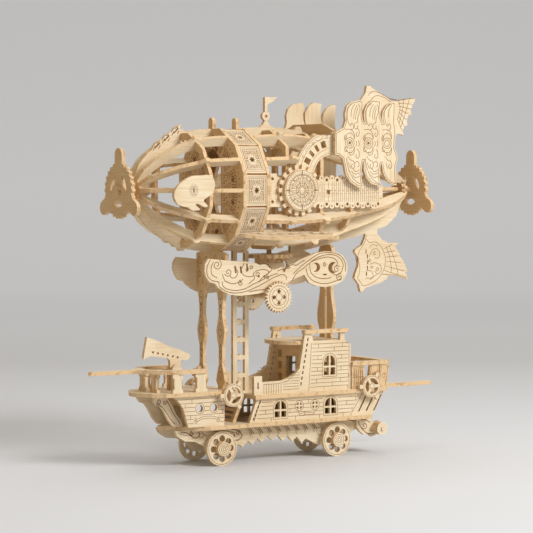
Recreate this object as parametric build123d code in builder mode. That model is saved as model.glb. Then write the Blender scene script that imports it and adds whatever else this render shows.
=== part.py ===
from build123d import *
import os
from math import atan2, cos, degrees, hypot, pi, radians, sin

# A plywood model of a fantasy airship. X runs from the bow to the stern, the near side faces -Y, Z is up,
# and the origin lies on the floor under the middle of the whole model.

os.makedirs("parts", exist_ok=True)

# Stock and fits
ply = 3.0
fit = 0.05
pin_radius = 1.5
bore_radius = pin_radius + fit
axle_radius = 2.0

# Levels of the hull, each the underside of a sheet
base_level = 29.0
aft_level = 50.5
fore_level = 56.0
rail_level = 73.5
gallery_level = 72.5
roof_level = 91.0
roof_rail_level = 99.8
axis_level = 213.6

# Hull places along the model
base_bow = -102.4
base_stern = 86.0
fore_bow = -124.9
fore_end = -46.0
fore_wall_end = -55.6
sprit_tip = -162.5
aft_bow = -29.0
aft_stern = 99.8
boom_tip = 162.5
cabin_bow = 22.0
cabin_stern = 60.5
hull_half_width = 27.0
wall_inner = 21.0
skirt_inner = 12.0

# Wheels
wheel_radius = 13.5
wheel_inner = 18.8
front_axle_x = -56.6
rear_axle_x = 52.2
spoke_count = 8
side_wheel_radius = 9.0
side_wheel_reach = 12.0
roller_radius = 5.2
roller_x = 93.7
roller_level = 20.0

# Envelope
ring_radius = 49.5
ring_band = 5.6
rib_count = 12
rib_step = 360 / rib_count
hub_ring_radius = 9.2
bow_ring_x = -80.0
front_x = -53.5
back_x = -32.0
stern_ring_xs = (-5.0, 28.0, 57.0)
nose_x = -121.5
tail_x = 130.0
board_inner_share = 0.70707071
board_inner = ring_radius * board_inner_share
sail_gap = 2.0
sail_inner = board_inner + ply + sail_gap
ring_apothem = ring_radius * cos(radians(rib_step / 2))
envelope_bottom = axis_level - ring_apothem

# Propellers and the works
propeller_radius = 32.3
bow_propeller_x = -136.0
stern_propeller_x = 141.0
tooth_module = 0.83
works_x = 1.0
hand_x = -8.9
hand_drop = 35.78667
hand_level = envelope_bottom - hand_drop
hand_teeth = 28
idler_teeth = 20
crown_teeth = 24
pinion_teeth = 20


def outline(shares, corner, size):
    """Turn shares of a size into points measured from a corner."""
    return [(corner[0] + across * size[0], corner[1] + up * size[1]) for across, up in shares]


def polar(radius, angle):
    """Give the point at a radius and an angle in degrees."""
    return (radius * cos(radians(angle)), radius * sin(radians(angle)))


def rib_plane(angle):
    """Give the plane through the envelope's axis, with X along it and Y outwards."""
    return Plane(
        origin=(0, 0, axis_level),
        x_dir=(1, 0, 0),
        z_dir=(0, -sin(radians(angle)), -cos(radians(angle))),
    )


def finish(piece, name):
    """Label a sub-part and write it."""
    piece.part.label = name
    export_step(piece.part, f"parts/{name}.step")


def toothed_disc(teeth, module, tooth_share=0.46):
    """Draw a spur gear's outline around the sketch's origin."""
    pitch_radius = teeth * module / 2
    root_radius = pitch_radius - 1.15 * module
    tip_radius = pitch_radius + 0.9 * module
    half_root = pitch_radius * pi / teeth * (tooth_share + 0.12)
    half_tip = pitch_radius * pi / teeth * (tooth_share - 0.22)
    Circle(root_radius)
    with PolarLocations(0, teeth):
        Polygon(
            (root_radius - module / 2, -half_root),
            (root_radius, -half_root),
            (tip_radius, -half_tip),
            (tip_radius, half_tip),
            (root_radius, half_root),
            (root_radius - module / 2, half_root),
            align=None,
        )


# Chassis base, a long board with a pointed bow
bow_nose_shares = [(0, 0.5), (0.02, 0.42), (0.11, 0.12), (0.17, 0), (0.985, 0), (1, 0.16)]
base_length = base_stern - base_bow
base_half = outline(bow_nose_shares, (base_bow, -hull_half_width), (base_length, 2 * hull_half_width))
base_mirror = [(x, -y) for x, y in reversed(base_half) if y < 0]
with BuildPart() as base_plate:
    with BuildSketch(Plane.XY.offset(base_level)):
        Polygon(*base_half, *base_mirror, align=None)
    extrude(amount=ply)
finish(base_plate, "base_plate")

# Skirts hang under the base and carry the axles
skirt_bow = -95.0
skirt_stern = 84.0
skirt_shares = [
    (0, 1), (0.01, 0.8), (0.05, 0.6), (0.1, 0.56), (0.15, 0.36), (0.17, 0.1), (0.21, 0), (0.25, 0.02),
    (0.29, 0.14), (0.32, 0.36), (0.345, 0.22), (0.37, 0.46), (0.395, 0.3), (0.42, 0.52), (0.445, 0.34),
    (0.47, 0.58), (0.5, 0.4), (0.525, 0.58), (0.555, 0.34), (0.58, 0.52), (0.605, 0.3), (0.63, 0.46),
    (0.655, 0.22), (0.68, 0.36), (0.74, 0.1), (0.79, 0.02), (0.85, 0.02), (0.9, 0.2), (0.93, 0.5),
    (0.965, 0.6), (1, 0.85), (1, 1),
]
skirt_drop = 21.5
skirt_length = skirt_stern - skirt_bow
with BuildPart() as chassis_skirts:
    with BuildSketch(Plane.XZ.offset(skirt_inner)):
        Polygon(
            *outline(skirt_shares, (skirt_bow, base_level - skirt_drop), (skirt_length, skirt_drop)),
            align=None,
        )
        with Locations((front_axle_x, wheel_radius), (rear_axle_x, wheel_radius)):
            Circle(axle_radius + fit, mode=Mode.SUBTRACT)
    extrude(amount=ply)
    mirror(about=Plane.XZ)
finish(chassis_skirts, "chassis_skirts")

# Axles and wheels
tread = ply
cap_thickness = ply
cap_radius = 5.6
axle_half = wheel_inner + tread
wheel_rim = 3.2
wheel_stations = (("front", front_axle_x), ("rear", rear_axle_x))
for station, axle_x in wheel_stations:
    with BuildPart() as axle:
        with BuildSketch(Plane.XZ):
            with Locations((axle_x, wheel_radius)):
                Circle(axle_radius)
        extrude(amount=axle_half, both=True)
    finish(axle, f"{station}_axle")

    hole_ring = (wheel_radius - wheel_rim + cap_radius) / 2
    with BuildPart() as wheels:
        with BuildSketch(Plane(origin=(axle_x, -wheel_inner, wheel_radius), z_dir=(0, -1, 0))):
            Circle(wheel_radius)
            with PolarLocations(hole_ring, spoke_count):
                Circle(hole_ring * sin(pi / spoke_count) - ply / 6, mode=Mode.SUBTRACT)
            Circle(axle_radius, mode=Mode.SUBTRACT)
        extrude(amount=tread)
        with BuildSketch(Plane(origin=(axle_x, -axle_half, wheel_radius), z_dir=(0, -1, 0))):
            Circle(cap_radius)
        extrude(amount=cap_thickness)
        mirror(about=Plane.XZ)
    finish(wheels, f"{station}_wheels")

# Stern roller brackets and rollers
bracket_reach = roller_x - base_stern + axle_radius + ply
bracket_shares = [
    (0, 1), (0, 0.55), (0.14, 0.3), (0.3, 0.12), (0.45, 0.2), (0.6, 0), (0.78, 0.06), (0.98, 0.34),
    (1, 0.62), (0.9, 0.8), (0.72, 0.72), (0.6, 0.8), (0.5, 1),
]
bracket_size = (bracket_reach + 4 * ply, 16.0)
bracket_inner = skirt_inner + 2 * ply
roller_length = 8.6
with BuildPart() as stern_brackets:
    with BuildSketch(Plane.XZ.offset(bracket_inner - ply)):
        Polygon(
            *outline(bracket_shares, (base_stern - 4 * ply, base_level - bracket_size[1]), bracket_size),
            align=None,
        )
        with Locations((roller_x, roller_level)):
            Circle(axle_radius + ply / 2)
            Circle(bore_radius, mode=Mode.SUBTRACT)
    extrude(amount=ply)
    mirror(about=Plane.XZ)
finish(stern_brackets, "stern_brackets")

with BuildPart() as stern_rollers:
    with BuildSketch(Plane.XZ.offset(bracket_inner)):
        with Locations((roller_x, roller_level)):
            Circle(roller_radius)
    extrude(amount=roller_length)
    with BuildSketch(Plane.XZ.offset(bracket_inner + roller_length)):
        with Locations((roller_x, roller_level)):
            Circle(pin_radius)
    extrude(amount=ply / 2)
    mirror(about=Plane.XZ)
    with BuildSketch(Plane.XZ):
        with Locations((roller_x, roller_level)):
            Circle(pin_radius)
    extrude(amount=bracket_inner, both=True)
finish(stern_rollers, "stern_rollers")

# Fore walls stand on the base, lean out with the bow and end in an arm that carries a side wheel
wall_foot = base_level + ply
fore_wall_bow = -101.0
fore_wall_shares = [
    (0, 1), (0.1, 0.82), (0.17, 0.62), (0.22, 0.36), (0.275, 0), (0.99, 0),
]
arm_drop = 5.0
arm_bore_level = fore_level - ply / 5
side_wheel_bow_x = -51.1
arm_start = -58.9
port_radius = 3.0
fore_port_xs = (-78.2, -65.2)
fore_port_level = 46.2
fore_wall_points = outline(
    fore_wall_shares, (fore_wall_bow, wall_foot), (fore_wall_end - fore_wall_bow, fore_level - wall_foot)
)
with BuildPart() as fore_walls:
    with BuildSketch(Plane.XZ.offset(wall_inner)):
        Polygon(
            *fore_wall_points,
            (fore_wall_end, fore_level - arm_drop),
            (fore_end, fore_level - arm_drop),
            (fore_end, fore_level + ply),
            (arm_start + fit, fore_level + ply),
            (arm_start + fit, fore_level),
            align=None,
        )
        with Locations(*[(x, fore_port_level) for x in fore_port_xs]):
            RegularPolygon(port_radius, 8, mode=Mode.SUBTRACT)
        with Locations((side_wheel_bow_x, arm_bore_level)):
            Circle(bore_radius, mode=Mode.SUBTRACT)
    extrude(amount=ply)
    mirror(about=Plane.XZ)
finish(fore_walls, "fore_walls")

# A bulkhead closes the fore hull between the walls
bulkhead_x = -84.0
bulkhead_door = (12.0, 15.0)
with BuildPart() as fore_bulkhead:
    with BuildSketch(Plane.YZ.offset(bulkhead_x)):
        with Locations((0, wall_foot)):
            Rectangle(2 * wall_inner, fore_level - wall_foot, align=(Align.CENTER, Align.MIN))
            Rectangle(*bulkhead_door, align=(Align.CENTER, Align.MIN), mode=Mode.SUBTRACT)
    extrude(amount=ply)
finish(fore_bulkhead, "fore_bulkhead")

# Foredeck with a pointed bow and a tongue aft, on which the front columns stand
fore_nose_shares = [(0, 0.5), (0.02, 0.38), (0.12, 0.16), (0.25, 0.04), (0.4, 0)]
fore_width = 2 * hull_half_width
fore_points = outline(fore_nose_shares, (fore_bow, -hull_half_width), (arm_start - fore_bow, fore_width))
fore_points += [(arm_start, -hull_half_width), (arm_start, -wall_inner), (fore_end, -wall_inner)]
with BuildPart() as foredeck:
    with BuildSketch(Plane.XY.offset(fore_level)):
        Polygon(*fore_points, *[(x, -y) for x, y in reversed(fore_points) if y < 0], align=None)
    extrude(amount=ply)
finish(foredeck, "foredeck")

# Braces under the overhanging bow
brace_inner = 10.5
brace_corner = (-113.0, base_level + ply)
brace_size = (26.0, fore_level - base_level - ply)
brace_shares = [
    (0.02, 1), (0, 0.86), (0.08, 0.74), (0.22, 0.7), (0.36, 0.5), (0.5, 0.22), (0.62, 0.06), (0.7, 0), (1, 0),
    (0.92, 0.2), (0.76, 0.4), (0.64, 0.66), (0.52, 0.84), (0.44, 1),
]
with BuildPart() as bow_braces:
    with BuildSketch(Plane.XZ.offset(brace_inner)):
        Polygon(*outline(brace_shares, brace_corner, brace_size), align=None)
    extrude(amount=ply)
    mirror(about=Plane.XZ)
finish(bow_braces, "bow_braces")

# Posts of the bow rail, waisted boards with a tenon's shoulder at each end
deck_top = fore_level + ply
post_height = rail_level - deck_top
post_side_inner = 22.5
side_posts = ((-98.5, 9.0), (-77.6, 10.6))
post_shares = [
    (-0.5, 0), (0.5, 0), (0.5, 0.16), (0.36, 0.24), (0.36, 0.76), (0.5, 0.84), (0.5, 1), (-0.5, 1),
    (-0.5, 0.84), (-0.36, 0.76), (-0.36, 0.24), (-0.5, 0.16),
]
bow_post_x = -110.5
bow_post_y = 8.5
bow_post_width = 11.0
with BuildPart() as rail_posts:
    with BuildSketch(Plane.XZ.offset(post_side_inner)):
        for post_x, post_width in side_posts:
            Polygon(*outline(post_shares, (post_x, deck_top), (post_width, post_height)), align=None)
    extrude(amount=ply)
    with BuildSketch(Plane.YZ.offset(bow_post_x)):
        Polygon(*outline(post_shares, (-bow_post_y, deck_top), (bow_post_width, post_height)), align=None)
    extrude(amount=ply)
    mirror(about=Plane.XZ)
finish(rail_posts, "rail_posts")

# Bow rail, a horseshoe that runs out into the bowsprit
rail_end = -72.5
rail_length = rail_end - sprit_tip
rail_half_shares = [
    (0.02, -0.06), (0.37, -0.1), (0.44, -0.16), (0.56, -0.62), (0.66, -0.9), (0.74, -1), (0.985, -1),
]
rail_points = outline(rail_half_shares, (sprit_tip, 0), (rail_length, hull_half_width))
rail_inner_shares = [(1, -0.94), (1, -0.76), (0.74, -0.72), (0.64, -0.58), (0.57, -0.3), (0.555, 0)]
rail_points += outline(rail_inner_shares, (sprit_tip, 0), (rail_length, hull_half_width))
with BuildPart() as bow_rail:
    with BuildSketch(Plane.XY.offset(rail_level)):
        Polygon(
            (sprit_tip, 0),
            *rail_points,
            *[(x, -y) for x, y in reversed(rail_points) if y < 0],
            align=None,
        )
    extrude(amount=ply)
finish(bow_rail, "bow_rail")

# Telescope on a post with two cheeks and a pin
scope_pivot = (-86.5, 75.0)
scope_corner = (-115.0, 71.5)
scope_size = (42.0, 29.6)
scope_shares = [
    (0, 0.45), (0.025, 0.43), (0.13, 0.5), (0.52, 0.42), (0.56, 0.36), (0.57, 0.08), (0.62, 0), (0.74, 0),
    (0.79, 0.08), (0.79, 0.36), (0.94, 0.355), (1, 0.43), (0.98, 0.5), (0.89, 0.55), (0.77, 0.64),
    (0.58, 0.71), (0.38, 0.84), (0.2, 0.945), (0.075, 1), (0.07, 0.97),
]
scope_bore_share = (0.2, 0.6)
scope_bore_pitch_share = (0.105, -0.033)
scope_bore_count = 6
scope_bore_radius = 0.9
cheek_width = 9.0
with BuildPart() as telescope:
    with BuildSketch(Plane.XZ.offset(-ply / 2)):
        Polygon(*outline(scope_shares, scope_corner, scope_size), align=None)
        for step in range(scope_bore_count):
            bore_share = (
                scope_bore_share[0] + step * scope_bore_pitch_share[0],
                scope_bore_share[1] + step * scope_bore_pitch_share[1],
            )
            with Locations(*outline([bore_share], scope_corner, scope_size)):
                Circle(scope_bore_radius, mode=Mode.SUBTRACT)
        with Locations(scope_pivot):
            Circle(bore_radius, mode=Mode.SUBTRACT)
    extrude(amount=ply)
finish(telescope, "telescope")

with BuildPart() as telescope_post:
    with BuildSketch(Plane.XZ.offset(ply / 2 + fit)):
        with Locations((scope_pivot[0], deck_top)):
            Rectangle(cheek_width, scope_pivot[1] - deck_top, align=(Align.CENTER, Align.MIN))
        with Locations(scope_pivot):
            Circle(cheek_width / 2)
    extrude(amount=ply)
    mirror(about=Plane.XZ)
    with BuildSketch(Plane.XZ):
        with Locations(scope_pivot):
            Circle(pin_radius)
    extrude(amount=ply / 2 + fit, both=True)
finish(telescope_post, "telescope_post")

# Helm on the foredeck
helm_x = -66.0
helm_radius = 6.5
helm_rise = 10.0
helm_level = deck_top + helm_rise
helm_handles = 8
with BuildPart() as deck_helm:
    with BuildSketch(Plane.YZ.offset(helm_x)):
        with Locations((0, helm_level)):
            Circle(helm_radius - ply / 2)
            with PolarLocations(0, helm_handles):
                Rectangle(helm_radius + ply / 3, ply / 2, align=(Align.MIN, Align.CENTER))
            with PolarLocations((helm_radius - ply / 2 + ply / 3) / 2, helm_handles // 2):
                Circle(ply / 3, mode=Mode.SUBTRACT)
        with Locations((0, deck_top)):
            Rectangle(2 * ply, helm_level - helm_radius - deck_top + ply, align=(Align.CENTER, Align.MIN))
    extrude(amount=ply)
finish(deck_helm, "deck_helm")

# Lower walls of the aft hull, with raked ends, arched windows and four-pane ports
pane_bar = 1.4
window_width = 11.0
lower_window_height = 13.0
window_sill = 3.0
window_crossbar_share = 0.42
lower_window_xs = (-3.8, 44.2)
lower_port_xs = (14.0, 29.0)
lower_port_level = 43.0
lower_foot = (-33.0, base_stern)
lower_head = (-26.0, aft_stern - ply)
slit_count = 3
slit_width = 1.6
slit_pitch = 7.5
slit_stern = 74.0
dash_length = 2.6
dash_width = 1.3
dash_inset = 3.4
dash_count = 5


def arched_panes(width, height):
    """Draw the glass of an arched window with a mullion and a crossbar."""
    with BuildSketch(mode=Mode.PRIVATE) as panes:
        Rectangle(width, height - width / 2, align=(Align.CENTER, Align.MIN))
        with Locations((0, height - width / 2)):
            RegularPolygon(width / 2, 12)
        Rectangle(pane_bar, height, align=(Align.CENTER, Align.MIN), mode=Mode.SUBTRACT)
        with Locations((0, height * window_crossbar_share)):
            Rectangle(width, pane_bar, mode=Mode.SUBTRACT)
    return panes.sketch


def round_panes(radius):
    """Draw the glass of a port with crossed bars."""
    with BuildSketch(mode=Mode.PRIVATE) as panes:
        RegularPolygon(radius, 12)
        Rectangle(pane_bar, 2 * radius, mode=Mode.SUBTRACT)
        Rectangle(2 * radius, pane_bar, mode=Mode.SUBTRACT)
    return panes.sketch


def dashes(start, end, count):
    """Draw a row of short slots between two points."""
    run = (end[0] - start[0], end[1] - start[1])
    with BuildSketch(mode=Mode.PRIVATE) as row:
        for step in range(count):
            share = (step + 0.5) / count
            with Locations((start[0] + share * run[0], start[1] + share * run[1])):
                Rectangle(dash_length, dash_width, rotation=Vector(*run).get_angle(Vector(1, 0)))
    return row.sketch


rake = (lower_head[1] - lower_foot[1]) / (aft_level - wall_foot)
with BuildPart() as lower_walls:
    with BuildSketch(Plane.XZ.offset(wall_inner)):
        Polygon(
            (lower_foot[0], wall_foot),
            (lower_foot[1], wall_foot),
            (lower_head[1], aft_level),
            (lower_head[0], aft_level),
            align=None,
        )
        for window_x in lower_window_xs:
            with Locations((window_x, wall_foot + window_sill)):
                add(arched_panes(window_width, lower_window_height), mode=Mode.SUBTRACT)
        for port_x in lower_port_xs:
            with Locations((port_x, lower_port_level)):
                add(round_panes(port_radius), mode=Mode.SUBTRACT)
        add(
            dashes(
                (lower_foot[0] + dash_inset, wall_foot + ply / 2),
                (lower_head[0] + dash_inset, aft_level - ply / 2),
                dash_count,
            ),
            mode=Mode.SUBTRACT,
        )
        for step in range(slit_count):
            slit_foot = slit_stern + step * slit_pitch - ply
            Polygon(
                (slit_foot, wall_foot + ply),
                (slit_foot + slit_width, wall_foot + ply),
                (slit_foot + slit_width + rake * (aft_level - wall_foot - 2 * ply), aft_level - ply),
                (slit_foot + rake * (aft_level - wall_foot - 2 * ply), aft_level - ply),
                align=None,
                mode=Mode.SUBTRACT,
            )
    extrude(amount=ply)
    mirror(about=Plane.XZ)
finish(lower_walls, "lower_walls")

# Transom between the lower walls, raked like their stern ends
transom_foot = base_stern - 2 * ply
with BuildPart() as stern_transom:
    with BuildSketch(Plane.XZ):
        Polygon(
            (transom_foot, wall_foot),
            (transom_foot + ply, wall_foot),
            (transom_foot + ply + rake * (aft_level - wall_foot), aft_level),
            (transom_foot + rake * (aft_level - wall_foot), aft_level),
            align=None,
        )
    extrude(amount=wall_inner, both=True)
finish(stern_transom, "stern_transom")

# Stairs up to the aft deck, a leaning board with a slot between each pair of treads
stair_foot = -41.0
stair_head = -33.0
stair_half = 12.0
stair_slots = 4
stair_slot = (16.0, 2.4)
stair_run = (stair_head - stair_foot, aft_level - wall_foot)
stair_length = hypot(*stair_run)
stair_plane = Plane(
    origin=(stair_foot, 0, wall_foot), x_dir=(0, 1, 0), z_dir=(-stair_run[1], 0, stair_run[0])
)
with BuildPart() as stairs:
    with BuildSketch(Plane.XZ):
        Polygon(
            (stair_foot, wall_foot),
            (stair_foot + ply, wall_foot),
            (stair_head + ply, aft_level),
            (stair_head, aft_level),
            align=None,
        )
    extrude(amount=stair_half, both=True)
    with BuildSketch(stair_plane):
        with Locations((0, -stair_length / 2)):
            with GridLocations(0, stair_length / (stair_slots + 0.5), 1, stair_slots):
                Rectangle(*stair_slot)
        with Locations((0, stair_length / 2)):
            with GridLocations(0, stair_length / (stair_slots + 0.5), 1, stair_slots):
                Rectangle(*stair_slot)
    extrude(amount=2 * ply, both=True, mode=Mode.SUBTRACT)
finish(stairs, "stairs")

# Aft deck with a tongue under the ladder and a boom over the stern
tongue_half = 6.0
tongue_bow = -36.5
boom_half = 2.6
boom_root = 9.0
deck_points = [
    (tongue_bow, -tongue_half),
    (aft_bow, -tongue_half),
    (aft_bow, -hull_half_width),
    (aft_stern - ply, -hull_half_width),
    (aft_stern, -hull_half_width + ply),
    (aft_stern, -boom_root),
    (aft_stern + boom_root, -boom_half),
    (boom_tip - boom_half / 2, -boom_half),
    (boom_tip, -boom_half / 2),
]
with BuildPart() as aft_deck:
    with BuildSketch(Plane.XY.offset(aft_level)):
        Polygon(*deck_points, *[(x, -y) for x, y in reversed(deck_points)], align=None)
    extrude(amount=ply)
finish(aft_deck, "aft_deck")

# Cabin walls sweep up from a low bulwark and end in posts for the roof rails
cabin_foot = aft_level + ply
rail_seat = roof_rail_level
cabin_wall_bow = -28.6
cabin_wall_stern = 63.7
cabin_size = (cabin_wall_stern - cabin_wall_bow, rail_seat - cabin_foot)
cabin_shares = [
    (0, 0), (0, 0.32), (0.08, 0.32), (0.08, 0.215), (0.28, 0.22), (0.36, 0.27), (0.42, 0.335), (0.465, 0.41),
    (0.52, 1), (0.59, 1), (0.605, 0.87), (0.89, 0.87), (0.89, 1), (0.935, 1), (0.935, 0.87), (0.95, 0.87),
    (0.95, 0.8), (1, 0.8), (1, 0),
]
upper_window_x = 43.2
upper_window_height = 16.0
upper_window_rise = 12.5
upper_dashes = 9
cabin_dash_shares = [(0.475, 0.1), (0.555, 0.95)]
bulwark_slot_share = (0.04, 0.16)
with BuildPart() as cabin_walls:
    with BuildSketch(Plane.XZ.offset(wall_inner)):
        Polygon(*outline(cabin_shares, (cabin_wall_bow, cabin_foot), cabin_size), align=None)
        with Locations((upper_window_x, cabin_foot + upper_window_rise)):
            add(arched_panes(window_width, upper_window_height), mode=Mode.SUBTRACT)
        add(
            dashes(*outline(cabin_dash_shares, (cabin_wall_bow, cabin_foot), cabin_size), upper_dashes),
            mode=Mode.SUBTRACT,
        )
        with Locations(*outline([bulwark_slot_share], (cabin_wall_bow, cabin_foot), cabin_size)):
            Rectangle(dash_width, 2 * dash_length, mode=Mode.SUBTRACT)
    extrude(amount=ply)
    mirror(about=Plane.XZ)
finish(cabin_walls, "cabin_walls")

# Cabin front with a doorway between two pilasters, and a closed back with a window
door_size = (15.0, 27.0)
front_side_slot = (5.0, 6.0)
cabin_height = roof_level - cabin_foot
with BuildPart() as cabin_front:
    with BuildSketch(Plane.YZ.offset(cabin_bow)):
        with Locations((0, cabin_foot)):
            Rectangle(2 * wall_inner, cabin_height, align=(Align.CENTER, Align.MIN))
            Rectangle(*door_size, align=(Align.CENTER, Align.MIN), mode=Mode.SUBTRACT)
        with Locations((0, cabin_foot + cabin_height / 2)):
            with GridLocations(2 * (wall_inner - front_side_slot[0]), 1.6 * front_side_slot[1], 2, 3):
                Rectangle(*front_side_slot, mode=Mode.SUBTRACT)
    extrude(amount=ply)
finish(cabin_front, "cabin_front")

with BuildPart() as cabin_back:
    with BuildSketch(Plane.YZ.offset(cabin_stern - ply)):
        with Locations((0, cabin_foot)):
            Rectangle(2 * wall_inner, cabin_height, align=(Align.CENTER, Align.MIN))
        with Locations((0, cabin_foot + upper_window_rise)):
            add(arched_panes(window_width, upper_window_height), mode=Mode.SUBTRACT)
    extrude(amount=ply)
finish(cabin_back, "cabin_back")

# Roof with a rounded eave over the door
roof_tip = 2.0
roof_shoulder = 12.0
with BuildPart() as cabin_roof:
    with BuildSketch(Plane.XY.offset(roof_level)):
        with BuildLine():
            Line((roof_shoulder, -wall_inner), (cabin_stern, -wall_inner))
            Line((cabin_stern, -wall_inner), (cabin_stern, wall_inner))
            Line((cabin_stern, wall_inner), (roof_shoulder, wall_inner))
            ThreePointArc((roof_shoulder, wall_inner), (roof_tip, 0), (roof_shoulder, -wall_inner))
        make_face()
    extrude(amount=ply)
finish(cabin_roof, "cabin_roof")

# Roof rails lie on the posts of the cabin walls
roof_rail_bow = 18.0
roof_rail_stern = 61.0
roof_rail_inner = 20.0
roof_rail_width = 6.0
with BuildPart() as roof_rails:
    with BuildSketch(Plane.XY.offset(rail_seat)):
        with Locations((roof_rail_bow, -roof_rail_inner)):
            Rectangle(roof_rail_stern - roof_rail_bow, roof_rail_width, align=(Align.MIN, Align.MAX))
        fillet(vertices(), roof_rail_width / 3)
    extrude(amount=ply)
    mirror(about=Plane.XZ)
finish(roof_rails, "roof_rails")

# Gallery round the stern: a rail on raked posts and slatted panels
gallery_bow = 64.2
gallery_stern = 103.0
gallery_width = 7.0
gallery_inner = 22.5
gallery_height = gallery_level - cabin_foot
gallery_post_width = 9.0
gallery_post_lean = 3.0
gallery_post_feet = (79.5, 89.5)
panel_slats = 6
panel_length = 12.0
side_wheel_stern_x = 80.7
side_wheel_level = 55.5
corner_cut = 5.0
with BuildPart() as gallery_rail:
    with BuildSketch(Plane.XY.offset(gallery_level)):
        Polygon(
            (gallery_bow, -hull_half_width),
            (gallery_stern - corner_cut, -hull_half_width),
            (gallery_stern, -hull_half_width + corner_cut),
            (gallery_stern, hull_half_width - corner_cut),
            (gallery_stern - corner_cut, hull_half_width),
            (gallery_bow, hull_half_width),
            (gallery_bow, hull_half_width - gallery_width),
            (gallery_stern - gallery_width, hull_half_width - gallery_width),
            (gallery_stern - gallery_width, -hull_half_width + gallery_width),
            (gallery_bow, -hull_half_width + gallery_width),
            align=None,
        )
    extrude(amount=ply)
    with BuildSketch(Plane.XZ.offset(gallery_inner)):
        for foot in gallery_post_feet:
            Polygon(
                (foot, cabin_foot),
                (foot + gallery_post_width, cabin_foot),
                (foot + gallery_post_width + gallery_post_lean, gallery_level),
                (foot + gallery_post_lean, gallery_level),
                align=None,
            )
        with Locations((gallery_bow, cabin_foot)):
            Rectangle(panel_length, gallery_height, align=(Align.MIN, Align.MIN))
        with Locations((gallery_bow + panel_length / 2, cabin_foot + gallery_height / 2)):
            with GridLocations(panel_length / panel_slats, 0, panel_slats - 1, 1):
                Rectangle(ply / 4, gallery_height - 2 * ply, mode=Mode.SUBTRACT)
        with Locations((gallery_bow + panel_length, cabin_foot)):
            Rectangle(
                side_wheel_stern_x - gallery_bow - panel_length, 2 * ply, align=(Align.MIN, Align.MIN)
            )
        with Locations((side_wheel_stern_x, side_wheel_level)):
            Circle(bore_radius, mode=Mode.SUBTRACT)
    extrude(amount=ply)
    mirror(about=Plane.XZ)
finish(gallery_rail, "gallery_rail")

# Side wheels turn on pins in the fore walls and the gallery
side_spokes = 3
spoke_width = 2.4
side_rim = 2.6
handle_count = 3
handle_width = 3.0
wheel_places = (
    ("side_wheel_bow", side_wheel_bow_x, arm_bore_level, wall_inner),
    ("side_wheel_stern", side_wheel_stern_x, side_wheel_level, gallery_inner),
)
side_wheel_face = hull_half_width + fit
for wheel_name, place_x, place_z, pin_start in wheel_places:
    for side, sign in (("near", -1), ("far", 1)):
        with BuildPart() as side_wheel:
            with BuildSketch(Plane(origin=(place_x, sign * side_wheel_face, place_z), z_dir=(0, sign, 0))):
                Circle(side_wheel_radius)
                Circle(side_wheel_radius - side_rim, mode=Mode.SUBTRACT)
                Circle(ply)
                with PolarLocations(0, side_spokes, start_angle=90):
                    Rectangle(side_wheel_radius - side_rim / 2, spoke_width, align=(Align.MIN, Align.CENTER))
                with PolarLocations(side_wheel_radius - side_rim / 2, handle_count, start_angle=30):
                    Rectangle(
                        side_wheel_reach - side_wheel_radius + side_rim / 2,
                        handle_width,
                        align=(Align.MIN, Align.CENTER),
                    )
            extrude(amount=ply)
            with BuildSketch(Plane(origin=(place_x, sign * pin_start, place_z), z_dir=(0, sign, 0))):
                Circle(pin_radius)
            extrude(amount=side_wheel_face - pin_start)
        finish(side_wheel, f"{wheel_name}_{side}")

# Heights where the envelope meets what carries it
keel_foot_share = 0.8989899
keel_foot_flat = ring_radius * keel_foot_share
keel_seat = axis_level - keel_foot_flat
scroll_inner = 21.5
scroll_reach = 20.8
scroll_drop = 33.98667
scroll_corner = (front_x - scroll_reach, envelope_bottom - scroll_drop)
scroll_size = (134.7, 33.1)
rear_x = stern_ring_xs[2]

# Front columns: two wavy legs on the foredeck under an ornate crest
leg_shares = [
    (0.2, 0), (0.2, 0.03), (0, 0.08), (0.12, 0.16), (0.3, 0.24), (0.3, 0.42), (0.12, 0.5), (0.02, 0.58),
    (0.16, 0.66), (0.3, 0.74), (0.24, 0.88), (0.1, 0.95), (0, 1),
    (1, 1), (0.9, 0.95), (0.76, 0.88), (0.7, 0.74), (0.84, 0.66), (0.98, 0.58), (0.88, 0.5), (0.7, 0.42),
    (0.7, 0.24), (0.88, 0.16), (1, 0.08), (0.8, 0.03), (0.8, 0),
]
leg_inner = 8.0
leg_width = 12.5
crest_drop = 28.78667
crest_level = envelope_bottom - crest_drop
crest_shares = [
    (-1, 0), (-1, 0.94), (-0.7, 1), (0.7, 1), (1, 0.94), (1, 0), (0.36, 0), (0.3, 0.18), (0.14, 0.3),
    (-0.14, 0.3), (-0.3, 0.18), (-0.36, 0),
]
crest_hole_radius = 4.0
with BuildPart() as front_columns:
    with BuildSketch(Plane.YZ.offset(front_x)):
        leg_points = outline(leg_shares, (leg_inner, deck_top), (leg_width, crest_level - deck_top))
        Polygon(*leg_points, align=None)
        mirror(about=Plane.YZ)
        Polygon(
            *outline(crest_shares, (0, crest_level), (scroll_inner, envelope_bottom - crest_level)),
            align=None,
        )
        with Locations((0, (crest_level + envelope_bottom) / 2 + ply)):
            Circle(crest_hole_radius, mode=Mode.SUBTRACT)
    extrude(amount=ply)
finish(front_columns, "front_columns")

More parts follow.
